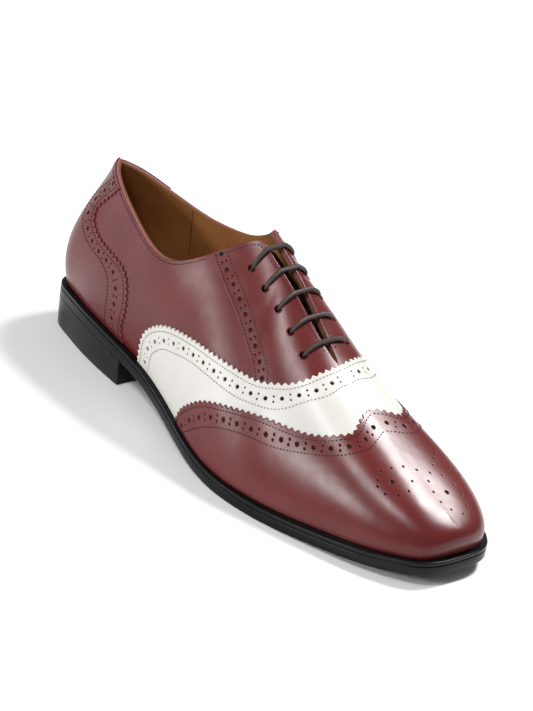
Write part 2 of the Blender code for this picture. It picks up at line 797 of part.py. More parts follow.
def add_wing_cap(material):
    near = edge_path(CAP_EDGE, CAP_STEPS)
    toe = np.stack((np.full(CAP_STEPS + 1, float(RIBS)), np.linspace(0.0, 1.0, CAP_STEPS + 1)), -1)
    turn, rise, faces = both_sides(ruled(near, toe, CAP_COLUMNS, CAP_POWER))
    return add_overlay("wing_cap", turn, rise, faces, CAP_LEATHER, material)


def add_counter(material):
    """The counter: from its curved front edge to the back seam, collar to sole."""
    front = edge_path(COUNTER_EDGE, COUNTER_STEPS)
    back = np.stack((0.0 * front[:, 0], np.linspace(1.0, 0.0, COUNTER_STEPS + 1)), -1)
    grid = ruled(front, back, COUNTER_COLUMNS, COUNTER_POWER)
    turn, share, faces = both_sides(grid)
    return add_overlay("counter", turn, share * collar_rise(turn), faces, COUNTER_LEATHER, material)


def facing_grid():
    """Nodes of the lateral facing, from its lower edge to the collar and throat edge."""
    rear = edge_path(FACING_EDGE, REAR_STEPS)
    under = slide(edge_path(VAMP_EDGE, JOIN_STEPS * (len(VAMP_EDGE) - 1)), -EDGE_GAP)
    under = under[JOIN_STEPS * FACING_JOIN:]
    under = under[under[:, 0] < FACING_END]
    rear[0, 1] = collar_rise(rear[:1, 0])[0]
    rear[-1] = under[0]
    lower = np.concatenate((rear, under[1:]))
    top_turn = np.linspace(rear[0, 0], FACING_END, len(lower))
    upper = np.stack((top_turn, collar_rise(top_turn)), -1)
    return ruled(lower, upper, FACING_COLUMNS)


def add_facing(name, side, cutter, material):
    grid = facing_grid()
    turn = grid[..., 0].ravel()
    if side == MEDIAL_SIDE:
        grid = grid.copy()
        share = grid[..., 1].ravel() / collar_rise(turn)
        turn = TURN - turn
        rise = share * collar_rise(turn)
    else:
        rise = grid[..., 1].ravel()
    faces = sheet_faces(*grid.shape[:2])
    return cut_eyelets(add_overlay(name, turn, rise, faces, FACING_LEATHER, material), cutter)


def tongue_sheet():
    """Nodes of the tongue's outer face: both flanks follow the form and an arch joins them."""
    turns = np.linspace(TONGUE_TOP, TONGUE_END, 12)
    rows = []
    for turn in turns:
        reach = np.clip((TONGUE_END - turn) / (TONGUE_END - TONGUE_DEEP), 0.0, 1.0)
        reach = reach * reach * (3.0 - 2.0 * reach)
        depth = -SEAT - WALL - TONGUE_GAP - (LACE_ROOM - TONGUE_GAP) * reach
        flank = np.linspace(TONGUE_EDGE, TONGUE_ARCH, 4)
        lateral = skin(np.full(4, turn), flank, depth)
        medial = skin(np.full(4, TURN - turn), flank, depth)
        span = np.linalg.norm(medial[-1] - lateral[-1])
        start = unit(lateral[-1] - lateral[-2]) * span
        end = unit(medial[-2] - medial[-1]) * span
        arch = []
        for part in (0.25, 0.5, 0.75):
            blend = part * part * (3.0 - 2.0 * part)
            arch.append(lateral[-1] * (1.0 - blend) + medial[-1] * blend
                        + start * part * (1.0 - part) ** 2 - end * part * part * (1.0 - part))
        rows.append(np.concatenate((lateral, arch, medial[::-1])))
    return np.array(rows)


def add_tongue(material):
    outer = tongue_sheet()
    along = np.gradient(outer, axis=0)
    across = np.gradient(outer, axis=1)
    normal = unit(np.cross(across, along))
    normal = normal * np.sign(normal[..., 2:])
    inner = outer - normal * TONGUE_LEATHER
    faces = sheet_faces(*outer.shape[:2])
    points, faces = close_wall(outer.reshape(-1, 3), inner.reshape(-1, 3), faces)
    return add_solid("tongue", points, faces, material)


def round_corners(points, radius, steps=2):
    """The polyline with its sharp corners turned into short arcs."""
    path = [points[0]]
    for before, corner, after in zip(points, points[1:], points[2:]):
        back = unit(before - corner)
        ahead = unit(after - corner)
        bend = math.acos(float(np.clip(-back @ ahead, -1.0, 1.0)))
        if bend < math.radians(30.0):
            path.append(corner)
            continue
        cut = radius * math.tan(bend / 2.0)
        middle = corner + unit(back + ahead) * radius / math.cos(bend / 2.0)
        first = corner + back * cut - middle
        last = corner + ahead * cut - middle
        for step in range(steps + 1):
            part = step / steps
            turned = (math.sin((1.0 - part) * bend) * first + math.sin(part * bend) * last) / math.sin(bend)
            path.append(middle + turned)
    path.append(points[-1])
    return path


def lace_route():
    """The lace's centre line, in five bars with its hidden runs under the facings."""
    over = LACE / 2.0 + LACE_LIFT
    under = -SEAT - WALL - LACE_ROOM / 2.0
    middle = throat_centre(EYELET_X)
    points = []

    def at(side, x, reach, height):
        turn, rise = find_place(side, x, np.interp(x, EYELET_X, middle) + side * reach)
        points.append(skin(turn, rise, height))

    side = MEDIAL_SIDE
    for number, x in enumerate(EYELET_X):
        at(side, x, EYELET_REACH, under)
        for reach in BAR_REACH:
            at(side, x, reach, over)
        for reach in reversed(BAR_REACH):
            at(-side, x, reach, over)
        at(-side, x, EYELET_REACH, under)
        side = -side
        if number + 1 < EYELETS:
            at(side, (x + EYELET_X[number + 1]) / 2.0, EYELET_REACH, under)
    for x in EYELET_X[::-1]:
        at(side, x - LACE, EYELET_REACH + LACE * 1.4, under)
    return round_corners(points, LACE_BEND)


def add_lace(material):
    route = lace_route()
    curve = bpy.data.curves.new("lace", "CURVE")
    curve.dimensions = "3D"
    curve.bevel_depth = LACE / 2.0
    curve.bevel_resolution = 1
    curve.use_fill_caps = True
    spline = curve.splines.new("POLY")
    spline.points.add(len(route) - 1)
    for point, place in zip(spline.points, route):
        point.co = (*(place + ORIGIN_SHIFT), 1.0)
    curve.render_resolution_u = 0
    curve.materials.append(material)
    item = bpy.data.objects.new("lace", curve)
    bpy.context.scene.collection.objects.link(item)
    return item


def build():
    clear_scene()
    black = leather("black_sole", (0.012, 0.013, 0.015), 0.35)
    burgundy = leather("burgundy_leather", (0.13, 0.022, 0.026), 0.3)
    cream = leather("white_leather", (0.72, 0.70, 0.66), 0.45)
    tan = leather("tan_lining", (0.30, 0.13, 0.045), 0.6)
    brown = leather("brown_lace", (0.035, 0.016, 0.013), 0.55)
    dark = leather("tongue_leather", (0.06, 0.018, 0.018), 0.5)
    cutter = add_eyelet_cutter()
    add_outsole(black)
    add_welt(black)
    add_heel(black)
    add_insole(tan)
    cut_eyelets(add_upper(burgundy), cutter)
    add_vamp(cream)
    add_wing_cap(burgundy)
    add_counter(burgundy)
    add_facing("facing_lateral", LATERAL_SIDE, cutter, burgundy)
    add_facing("facing_medial", MEDIAL_SIDE, cutter, burgundy)
    add_tongue(dark)
    add_lace(brown)


build()
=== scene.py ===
"""Looks of a right full-brogue Oxford: the finish of each leather, its cut and pinked
edges, perforations, stitches, lace and sole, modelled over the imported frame.

A place on the upper is given by its rib, counted from the back of the heel to the toe
along either side, and by its rise, from 0 at the sole to 1 at the crest of the last.
Heights are above the last's outer form.
"""
import math

import bpy
import numpy as np
from mathutils import Matrix, Vector
from mathutils.geometry import delaunay_2d_cdt


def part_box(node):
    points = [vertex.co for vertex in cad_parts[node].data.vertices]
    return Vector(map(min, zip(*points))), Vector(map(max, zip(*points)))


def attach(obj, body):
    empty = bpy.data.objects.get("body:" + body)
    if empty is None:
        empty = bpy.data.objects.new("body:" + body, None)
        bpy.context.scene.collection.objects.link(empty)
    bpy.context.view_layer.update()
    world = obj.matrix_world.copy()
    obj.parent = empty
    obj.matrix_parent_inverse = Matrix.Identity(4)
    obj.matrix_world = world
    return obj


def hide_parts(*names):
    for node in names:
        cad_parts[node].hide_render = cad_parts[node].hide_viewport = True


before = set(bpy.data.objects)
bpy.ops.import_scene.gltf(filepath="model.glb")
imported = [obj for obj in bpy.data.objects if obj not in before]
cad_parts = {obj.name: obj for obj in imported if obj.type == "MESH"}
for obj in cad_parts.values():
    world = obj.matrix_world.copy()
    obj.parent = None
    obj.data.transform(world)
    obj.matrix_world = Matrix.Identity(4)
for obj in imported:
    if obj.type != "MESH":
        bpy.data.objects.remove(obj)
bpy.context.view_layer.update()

sole_low, sole_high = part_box("outsole")

LENGTH = 0.305
BALL_WIDTH = 0.1006       # widest reach of the outsole, lateral and medial together
HEEL_WIDTH = 0.065
HEEL_LIFT = 0.0173        # underside of the outsole above the floor at the heel
TOE_SPRING = 0.0069
OUTSOLE = 0.0052
WELT = 0.0022
CLEAR = 0.0003
LEDGE = 0.0056            # welt that shows outside the upper at the forefoot
LAST_HEIGHT = 0.100       # of the last's cone above the sole
BACK_HEIGHT = 0.0738      # of the collar above the sole
INSTEP_HEIGHT = 0.0985
THROAT_GAP = 0.0096
SEAT_END = 0.14           # share of the length: end of the level heel seat
BALL_AT = 0.62            # share of the length: where the sole comes down to the floor
TREAD_END = 0.70          # share of the length: where the toe spring starts
SPRING_POWER = 1.6
LINING_OUT = -0.0024      # heights of the faces of each layer
LINING_IN = -0.0034
QUARTER_OUT = -0.0008
QUARTER_IN = -0.0023
FACING_OUT = 0.0000
COUNTER_OUT = 0.0000
VAMP_OUT = 0.00055
VAMP_IN = -0.0008
# height of the painted-shade discs under the vamp's perforations
VAMP_HOLE_SHADE = -0.00025
CAP_OUT = 0.0013
CAP_IN = 0.0006
TONGUE_LEATHER = 0.0018
INSOLE = 0.0020
HEEL_BREAST = 0.0755      # from the back of the heel
HEEL_TAPER = 0.0012
LACE = 0.0026
LACE_LIFT = 0.0001
LACE_ROOM = 0.0036
LACE_BEND = 0.0018
EYELET = 0.0042
EYELET_ROLL = 0.00034     # radius of the leather rolled round an eyelet
EYELETS = 5
EYELET_FIRST = 0.142      # from the back of the heel to the top eyelets
EYELET_STEP = 0.0121
EYELET_REACH = 0.014
BAR_REACH = (EYELET_REACH * 0.86, EYELET_REACH * 0.66, EYELET_REACH * 0.36)
BAR_SUNK = (0.0008, 0.0001, 0.0)
LATERAL_SIDE = -1
MEDIAL_SIDE = 1
BOTH = (LATERAL_SIDE, MEDIAL_SIDE)

PINK_PITCH = 0.0037       # of the pinked teeth along a cut edge
PINK_DEPTH = 0.0016
PINK_NODES = 8            # along one tooth
BIG_HOLE = 0.00115        # radius
SMALL_HOLE = 0.00058
HOLE_PITCH = 0.0090       # between large perforations
PAIR_REACH = 0.0014       # of the small ones from the line of the large ones
STITCH_PITCH = 0.00195
STITCH_LONG = 0.00128
STITCH_WIDE = 0.00068
EDGE_SEAM = 0.0026        # outer row of stitches inside a pinked edge
TOPLINE_SEAM = 0.0021
STITCH_CLEAR = 0.008      # share of the rise that a stitch keeps below the collar
THROAT_END_RIB = 9.5      # in front of it the rows run over the crest
LINING_SEAM = 3.35        # rib of the seam inside the medial wall
FACING_BAND = 0.0098      # from the facing's rear edge to past its front row of stitches
FACING_SEAM = 0.0014      # of those two rows from the band's edges
SEWN = 0.00005            # middle of a thread above its leather
DISC = 0.00006            # thickness of the dark disc of painted shade at the foot of a perforation
DISC_REACH = 1.25         # its radius over the hole's
DISC_LIFT = 0.00012       # of the painted-shade discs above the quarters
EDGE_ROUND = 0.0003       # width and drop of a cut edge's rounding
QUARTER_MESH = 0.0022     # between the nodes of each leather
LINING_MESH = 0.0030
PANEL_MESH = 0.0020
FACING_MESH = 0.0018
EDGE_MESH = 0.0015        # along its plain cut edges
VAMP_LAP = 0.0030         # of the vamp under the cap
FACING_LAP = 0.0020       # of the facings under the vamp
PANEL_SHARP = 50.0        # degrees above which an edge is left sharp
HEEL_SHARP = 35.0
HEEL_ROUND = 0.0005

# The photograph's eye, measured from the back of the heel and the floor, and its angles.
PHOTO_AIM = Vector((0.16486, 0.02223, 0.05919))
PHOTO_DISTANCE = 2.31491
PHOTO_AZIMUTH = 45.52
PHOTO_ELEVATION = 28.0
PHOTO_ROLL = 10.38
SHOE_MIDDLE = Vector((0.143, 0.006, 0.0449))
LENS = 228.0
FLOOR_REACH = 4.0

# Lines of stitches on the inner side of each row of perforations.
VAMP_SEAM = np.array((
    # rib, rise
    (5.02, 0.000),
    (5.12, 0.140),
    (5.24, 0.200),
    (5.52, 0.270),
    (5.88, 0.312),
    (6.44, 0.357),
    (7.10, 0.378),
    (7.76, 0.388),
    (8.20, 0.415),
    (8.60, 0.456),
    (9.00, 0.532),
    (9.48, 0.670),
    (9.84, 0.800),
    (10.08, 1.000),
))
CAP_SEAM = np.array((
    # rib, rise
    (6.52, 0.000),
    (6.86, 0.110),
    (7.36, 0.210),
    (8.08, 0.285),
    (8.76, 0.330),
    (9.30, 0.385),
    (10.00, 0.480),
    (10.56, 0.590),
    (10.92, 0.700),
    (11.12, 0.820),
    (11.20, 1.000),
))
COUNTER_SEAM = np.array((
    # rib, share of the way to the collar
    (1.60, 1.000),
    (1.24, 0.860),
    (1.06, 0.720),
    (1.24, 0.590),
    (1.72, 0.510),
    (2.40, 0.475),
    (3.00, 0.480),
    (3.40, 0.440),
    (3.56, 0.330),
    (3.58, 0.160),
    (3.58, 0.000),
))
# Large and small perforations of the toe's rosette, by their place from the heel and
# across, as shares of the length and the ball width.
ROSETTE_LARGE = np.array((
    # along, across
    (0.870, -0.107),
    (0.918, 0.135),
))
ROSETTE_SMALL = np.array((
    # along, across
    (0.853, -0.156),
    (0.861, -0.170),
    (0.878, -0.161),
    (0.845, -0.121),
    (0.849, -0.069),
    (0.855, -0.007),
    (0.867, 0.051),
    (0.878, 0.116),
    (0.887, 0.177),
    (0.883, -0.012),
    (0.891, 0.076),
    (0.893, -0.116),
    (0.896, -0.062),
    (0.911, 0.063),
    (0.931, 0.059),
    (0.948, 0.094),
    (0.960, 0.147),
    (0.946, 0.200),
    (0.926, 0.215),
    (0.908, 0.206),
    (0.882, 0.304),
    (0.874, 0.252),
    (0.844, 0.232),
    (0.853, 0.200),
    (0.865, 0.166),
))

# Cut edges of the pieces laid on the upper, from the sole up: rib is the rib's number and
# rise the share of the rib; the counter's and the facing's start at the collar, and the
# counter's rise is a share of the way to the collar.
VAMP_EDGE = np.array((
    # rib, rise
    (4.68, 0.000),
    (4.74, 0.140),
    (4.90, 0.250),
    (5.32, 0.350),
    (5.90, 0.410),
    (6.70, 0.447),
    (7.50, 0.465),
    (8.16, 0.495),
    (8.60, 0.555),
    (8.96, 0.630),
    (9.32, 0.750),
    (9.60, 0.900),
    (9.70, 1.000),
))
CAP_EDGE = np.array((
    # rib, rise
    (6.20, 0.000),
    (6.36, 0.110),
    (6.62, 0.190),
    (7.00, 0.265),
    (7.50, 0.320),
    (8.10, 0.370),
    (8.80, 0.435),
    (9.40, 0.490),
    (9.95, 0.575),
    (10.35, 0.665),
    (10.62, 0.755),
    (10.68, 0.870),
    (10.70, 1.000),
))
COUNTER_EDGE = np.array((
    # rib, share of the way to the collar
    (2.36, 1.000),
    (1.98, 0.860),
    (1.74, 0.735),
    (1.86, 0.660),
    (2.16, 0.620),
    (2.72, 0.600),
    (3.40, 0.615),
    (3.92, 0.610),
    (4.15, 0.490),
    (4.17, 0.300),
    (4.12, 0.135),
    (4.20, 0.000),
))
FACING_EDGE = np.array((
    # rib, rise
    (6.50, 0.785),
    (6.92, 0.710),
    (7.20, 0.670),
    (7.52, 0.620),
    (7.80, 0.570),
    (8.02, 0.530),
    (8.16, 0.495),
))
TONGUE_TOP = 7.35         # ribs at the tongue's two ends, and where it lies deepest
TONGUE_END = 10.0
TONGUE_DEEP = 9.15
TONGUE_EDGE = 0.71        # rise at the tongue's side edges
TONGUE_ARCH = 0.87        # rise where its arch starts

# A row for each rib of the form, from the back of the heel to the tip of the toe.
# along is a share of the length, lateral and medial are shares of the local width,
# ball is how much of the local width is the ball width, ledge is a share of the ledge.
OUTLINE = np.array((
    # along, lateral, medial, ball, ledge
    (0.000, 0.015, -0.015, 0.00, 0.48),
    (0.012, 0.300, 0.280, 0.00, 0.50),
    (0.060, 0.400, 0.390, 0.00, 0.50),
    (0.130, 0.472, 0.470, 0.00, 0.50),
    (0.220, 0.520, 0.475, 0.00, 0.50),
    (0.320, 0.466, 0.362, 0.34, 0.48),
    (0.420, 0.459, 0.320, 0.78, 0.50),
    (0.520, 0.503, 0.378, 1.00, 0.55),
    (0.620, 0.533, 0.442, 1.00, 0.70),
    (0.720, 0.490, 0.467, 1.00, 0.87),
    (0.820, 0.404, 0.465, 1.00, 0.97),
    (0.900, 0.320, 0.436, 1.00, 0.98),
    (0.960, 0.217, 0.352, 1.00, 0.92),
    (0.993, 0.102, 0.242, 1.00, 0.88),
    (1.000, -0.075, 0.075, 1.00, 0.88),
))

# Where each rib ends on the crest of the last: along is a share of the length,
# half of the cone's width is a share of the heel width, height is a share of the last's
# height above the sole.
CREST = np.array((
    # along, half, height
    (0.055, 0.000, 0.930),
    (0.077, 0.080, 0.930),
    (0.113, 0.193, 0.930),
    (0.159, 0.278, 0.933),
    (0.213, 0.333, 0.943),
    (0.274, 0.348, 0.963),
    (0.343, 0.240, 0.997),
    (0.420, 0.112, 1.002),
    (0.512, 0.000, 0.935),
    (0.604, 0.000, 0.762),
    (0.690, 0.000, 0.594),
    (0.770, 0.000, 0.464),
    (0.860, 0.000, 0.330),
    (0.932, 0.000, 0.217),
    (0.958, 0.000, 0.176),
))
CREST_BEND = 0.65         # share of the length where the crest starts to swing medially
CREST_SWING = 0.054       # share of the ball width that it has swung by its toe end

# How far each rib's handles reach: out from the foot and up from it, then out from the
# crest and down from it. Out is a share of the ball width, up and down are shares of the
# last's height.
LATERAL_RIBS = np.array((
    # foot_out, foot_up, crest_out, crest_down
    (0.120, 0.367, 0.040, 0.337),
    (0.118, 0.367, 0.040, 0.337),
    (0.096, 0.341, 0.030, 0.349),
    (0.070, 0.306, 0.030, 0.353),
    (0.048, 0.273, 0.047, 0.340),
    (0.034, 0.244, 0.080, 0.300),
    (0.023, 0.221, 0.122, 0.236),
    (0.016, 0.203, 0.168, 0.156),
    (0.012, 0.189, 0.205, 0.070),
    (0.009, 0.177, 0.221, 0.020),
    (0.008, 0.167, 0.220, 0.000),
    (0.009, 0.158, 0.210, 0.000),
    (0.010, 0.149, 0.192, 0.000),
    (0.018, 0.124, 0.142, 0.000),
    (0.026, 0.104, 0.118, 0.000),
))
MEDIAL_RIBS = np.array((
    # foot_out, foot_up, crest_out, crest_down
    (0.120, 0.367, 0.040, 0.337),
    (0.116, 0.364, 0.036, 0.339),
    (0.092, 0.342, 0.016, 0.353),
    (0.066, 0.320, 0.008, 0.358),
    (0.049, 0.306, 0.024, 0.338),
    (0.041, 0.297, 0.069, 0.289),
    (0.037, 0.291, 0.131, 0.216),
    (0.034, 0.283, 0.195, 0.131),
    (0.029, 0.266, 0.229, 0.060),
    (0.028, 0.249, 0.236, 0.016),
    (0.036, 0.235, 0.243, 0.000),
    (0.056, 0.228, 0.240, 0.000),
    (0.060, 0.186, 0.200, 0.000),
    (0.044, 0.136, 0.154, 0.000),
    (0.026, 0.104, 0.118, 0.000),
))

# The collar's height above the sole along the shoe: shares of the back height and of
# the instep height, for the lateral and the medial side.
COLLAR = np.array((
    # along, lateral_back, lateral_instep, medial_back, medial_instep
    (0.030, 1.000, 0.000, 1.000, 0.000),
    (0.100, 0.972, 0.000, 0.868, 0.000),
    (0.180, 0.900, 0.000, 0.796, 0.000),
    (0.262, 0.845, 0.000, 0.838, 0.000),
    (0.318, 0.445, 0.332, 0.470, 0.350),
    (0.367, 0.000, 0.778, 0.000, 0.820),
    (0.407, 0.000, 0.898, 0.000, 0.940),
    (0.440, 0.000, 1.000, 0.000, 1.040),
    (0.492, 0.000, 1.135, 0.000, 1.165),
))
THROAT_TOP = 0.433        # share of the length: top of the facings
THROAT_END = 0.659        # share of the length: where the facings meet
THROAT_POWER = 0.45
CORNER = 0.006            # rounding of the facings' top corners

RIBS = len(OUTLINE) - 1
TURN = 2 * RIBS
OPEN_RIBS = 8             # ribs behind this one end on the cone's open top
UP = np.array((0.0, 0.0, 1.0))


def ring_spline(values):
    """Cubic spline round a closed ring with one knot for each value."""
    values = np.asarray(values, float)
    count = len(values)
    ahead = np.roll(values, -1)
    behind = np.roll(values, 1)
    one = np.eye(count)
    system = 4.0 * one + np.roll(one, 1, 1) + np.roll(one, -1, 1)
    bend = np.linalg.solve(system, 6.0 * (ahead - 2.0 * values + behind))

    def curve(turn):
        turn = np.mod(turn, count)
        knot = np.floor(turn).astype(int) % count
        after = (knot + 1) % count
        part = turn - np.floor(turn)
        rest = 1.0 - part
        chord = rest * values[knot] + part * values[after]
        return chord + ((rest ** 3 - rest) * bend[knot] + (part ** 3 - part) * bend[after]) / 6.0

    return curve


def line_spline(places, values):
    """Natural cubic spline through values at rising places."""
    places = np.asarray(places, float)
    values = np.asarray(values, float)
    gaps = np.diff(places)
    rises = np.diff(values) / gaps
    count = len(places)
    system = np.eye(count)
    load = np.zeros(count)
    for knot in range(1, count - 1):
        system[knot, knot - 1:knot + 2] = (gaps[knot - 1], 2.0 * (gaps[knot - 1] + gaps[knot]), gaps[knot])
        load[knot] = 6.0 * (rises[knot] - rises[knot - 1])
    bend = np.linalg.solve(system, load)

    def curve(place):
        place = np.asarray(place, float)
        knot = np.clip(np.searchsorted(places, place) - 1, 0, count - 2)
        gap = gaps[knot]
        part = (place - places[knot]) / gap
        rest = 1.0 - part
        chord = rest * values[knot] + part * values[knot + 1]
        sag = (rest ** 3 - rest) * bend[knot] + (part ** 3 - part) * bend[knot + 1]
        return chord + sag * gap ** 2 / 6.0

    return curve


def round_ring(lateral, medial):
    """Rows of both sides in one ring: lateral to the toe, then medial back to the heel."""
    return np.concatenate((lateral, medial[-2:0:-1]))


def unit(vectors):
    return vectors / np.linalg.norm(vectors, axis=-1, keepdims=True)


ALONG, LATERAL, MEDIAL, BALL, LEDGE_SHARE = OUTLINE.T
LOCAL_WIDTH = HEEL_WIDTH + (BALL_WIDTH - HEEL_WIDTH) * BALL
edge_x = ring_spline(round_ring(ALONG, ALONG) * LENGTH)
edge_y = ring_spline(round_ring(-LATERAL * LOCAL_WIDTH, MEDIAL * LOCAL_WIDTH))
ledge_at = ring_spline(round_ring(LEDGE_SHARE, LEDGE_SHARE) * LEDGE)
CREST_ALONG, CREST_HALF, CREST_HEIGHT = CREST.T
crest_x = ring_spline(round_ring(CREST_ALONG, CREST_ALONG) * LENGTH)
crest_half = ring_spline(round_ring(-CREST_HALF, CREST_HALF) * HEEL_WIDTH)
crest_rise = ring_spline(round_ring(CREST_HEIGHT, CREST_HEIGHT) * LAST_HEIGHT)
REACH = (BALL_WIDTH, LAST_HEIGHT, BALL_WIDTH, LAST_HEIGHT)
handles = [ring_spline(round_ring(LATERAL_RIBS[:, i], MEDIAL_RIBS[:, i]) * REACH[i]) for i in range(4)]
COLLAR_LATERAL = COLLAR[:, 1] * BACK_HEIGHT + COLLAR[:, 2] * INSTEP_HEIGHT
COLLAR_MEDIAL = COLLAR[:, 3] * BACK_HEIGHT + COLLAR[:, 4] * INSTEP_HEIGHT
lateral_collar = line_spline(COLLAR[:, 0] * LENGTH, COLLAR_LATERAL)
medial_collar = line_spline(COLLAR[:, 0] * LENGTH, COLLAR_MEDIAL)


def sole_under(x):
    """Height of the outsole's underside: heel seat, arch, flat tread and toe spring."""
    climb = np.clip((BALL_AT - x / LENGTH) / (BALL_AT - SEAT_END), 0.0, 1.0)
    spring = np.clip((x / LENGTH - TREAD_END) / (1.0 - TREAD_END), 0.0, 1.2)
    return HEEL_LIFT * climb * climb * (3.0 - 2.0 * climb) + TOE_SPRING * spring ** SPRING_POWER


def sole_top(x):
    return sole_under(x) + OUTSOLE + CLEAR + WELT


def edge(turn):
    return np.stack((edge_x(turn), edge_y(turn)), -1)


def outward(turn):
    """Level unit vector out of the sole's edge."""
    step = 1e-3
    run = edge(turn + step) - edge(turn - step)
    return unit(np.stack((run[..., 1], -run[..., 0], 0.0 * run[..., 0]), -1))


def fold(turn):
    """Rib number counted from the heel on either side."""
    turn = np.mod(turn, TURN)
    return np.where(turn > RIBS, TURN - turn, turn)


def crest_centre(turn):
    """The crest's middle line swings medially in front and runs straight into its end."""
    share = (crest_x(turn) / LENGTH - CREST_BEND) / (CREST_ALONG[-1] - CREST_BEND)
    share = np.clip(share, 0.0, 1.0)
    return CREST_SWING * BALL_WIDTH * share * share * (3.0 - 2.0 * share)


def crest(turn):
    half = np.where(fold(turn) >= OPEN_RIBS, 0.0, crest_half(turn))
    x = crest_x(turn)
    return np.stack((x, crest_centre(turn) + half, sole_top(x) + crest_rise(turn)), -1)


def crest_slope(turn):
    """Fall of the crest along the shoe, fading out towards the open top of the cone."""
    step = 1e-2
    rib = np.clip(fold(turn), step, RIBS - step)
    run = crest(rib + step) - crest(rib - step)
    part = np.clip((rib - OPEN_RIBS + 2.0) / 2.0, 0.0, 1.0)
    fade = part * part * (3.0 - 2.0 * part)
    return fade * run[..., 2] / np.where(fade > 0.0, run[..., 0], 1.0)


def form(turn, rise):
    """Point of the shoe's outer form on a rib, from its foot at rise 0 to the crest at 1."""
    turn, rise = np.broadcast_arrays(np.asarray(turn, float), np.asarray(rise, float))
    out = outward(turn)
    foot_out, foot_up, crest_out, crest_down = (handle(turn)[..., None] for handle in handles)
    foot = np.concatenate((edge(turn), np.zeros(turn.shape + (1,))), -1)
    foot -= out * ledge_at(turn)[..., None]
    foot[..., 2] = sole_top(foot[..., 0]) + CLEAR
    low = foot + out * foot_out + UP * foot_up
    end = crest(turn)
    lean = out + UP * (crest_slope(turn) * out[..., 0])[..., None]
    high = end + lean * crest_out - UP * crest_down
    part = rise[..., None]
    rest = 1.0 - part
    ends = rest ** 3 * foot + part ** 3 * end
    return ends + 3.0 * rest * rest * part * low + 3.0 * rest * part * part * high


def form_normal(turn, rise):
    turn, rise = np.broadcast_arrays(np.asarray(turn, float), np.asarray(rise, float))
    step = 1e-3
    inside = np.clip(rise, step, 1.0 - step)
    across = form(turn + step, inside) - form(turn - step, inside)
    up = form(turn, inside + step) - form(turn, inside - step)
    return unit(np.cross(across, up))


FOOT_BAND = 0.08          # rise below which the offset turns level


def skin(turn, rise, height):
    """Point at a height outside the form, level at the foot and matched across the crest."""
    turn, rise = np.broadcast_arrays(np.asarray(turn, float), np.asarray(rise, float))
    normal = form_normal(turn, rise)
    slope = crest_slope(turn)
    square = unit(np.stack((-slope, 0.0 * slope, 1.0 + 0.0 * slope), -1))
    on_crest = (rise >= 1.0) & (fold(turn) >= OPEN_RIBS)
    normal = np.where(on_crest[..., None], square, normal)
    level = np.clip(rise / FOOT_BAND, 0.0, 1.0)
    flat = normal * (1.0, 1.0, 0.0)
    normal = unit(flat + UP * (normal[..., 2] * level)[..., None])
    return form(turn, rise) + normal * np.asarray(height)[..., None]


def half_gap(x):
    """Half the width of the throat between the facings, negative in front of it."""
    share = (THROAT_END - x / LENGTH) / (THROAT_END - THROAT_TOP)
    return THROAT_GAP / 2.0 * np.sign(share) * np.abs(share) ** THROAT_POWER


def above_collar(turn, point):
    """How far a point of the form is past the collar or the facing's edge, corner rounded."""
    x = point[..., 0]
    lateral = np.mod(turn, TURN) < RIBS
    line = np.where(lateral, lateral_collar(x), medial_collar(x))
    past_line = point[..., 2] - sole_top(x) - np.where(x < LENGTH / 2.0, line, LAST_HEIGHT * 2.0)
    aside = np.abs(point[..., 1] - crest_centre(turn))
    past_edge = np.where(x > LENGTH / 3.0, half_gap(x) - aside, -LENGTH)
    most = np.maximum(past_line, past_edge)
    least = np.minimum(past_line, past_edge)
    return most + CORNER / 3.0 * np.log1p(np.exp((least - most) * 3.0 / CORNER))


def collar_rise(turn, steps=400):
    """Rise at which each rib leaves the upper; 1 in front of the throat."""
    turn = np.asarray(turn, float)
    rise = np.linspace(0.0, 1.0, steps + 1)
    past = above_collar(turn[:, None], form(turn[:, None], rise[None, :]))
    ends = np.ones(len(turn))
    for row, values in enumerate(past):
        out = np.flatnonzero(values > 0.0)
        if len(out) and crest_x(turn[row]) < THROAT_END * LENGTH - WELD:
            last = out[0]
            ends[row] = rise[last - 1] + (rise[last] - rise[last - 1]) * (
                -values[last - 1] / (values[last] - values[last - 1]))
    return ends


WELD = 1e-6
FINE_RIBS = np.linspace(0.0, RIBS, 1401)
THROAT_RIB = float(np.interp(THROAT_END * LENGTH, crest_x(FINE_RIBS), FINE_RIBS))
EYELET_X = EYELET_FIRST + EYELET_STEP * np.arange(EYELETS)
SIDE_TURNS = np.linspace(0.0, TURN, 1401)
SHIFT = np.array((sole_low.x, (sole_low.y + sole_high.y) / 2.0, 0.0))
SHIFT[1] -= (edge_y(SIDE_TURNS).min() + edge_y(SIDE_TURNS).max()) / 2.0
FLAT_RIB = 0.024          # metres that one rib and the whole rise count for when meshing
FLAT_RISE = 0.062
STEP = 1e-3


def ring_turn(side, rib):
    """The turn of a rib on one side of the shoe."""
    return rib if side == LATERAL_SIDE else TURN - rib


def tangents(side, rib, rise):
    """How a point of the form moves with its rib and with its rise."""
    inside = np.clip(rise, STEP, 1.0 - STEP)
    ahead = form(ring_turn(side, rib + STEP), inside)
    behind = form(ring_turn(side, rib - STEP), inside)
    above = form(ring_turn(side, rib), inside + STEP)
    below = form(ring_turn(side, rib), inside - STEP)
    return (ahead - behind) / (2.0 * STEP), (above - below) / (2.0 * STEP)


def move_in_skin(side, path, vectors):
    """Ribs and rises after small moves along the skin, given as vectors."""
    along, up = tangents(side, path[:, 0], path[:, 1])
    base = np.stack((along, up), -1)
    return path + np.einsum("nij,nj->ni", np.linalg.pinv(base), vectors)


def run_of(path, side=LATERAL_SIDE):
    points = form(ring_turn(side, path[:, 0]), path[:, 1])
    return np.append(0.0, np.cumsum(np.linalg.norm(np.diff(points, axis=0), axis=1)))


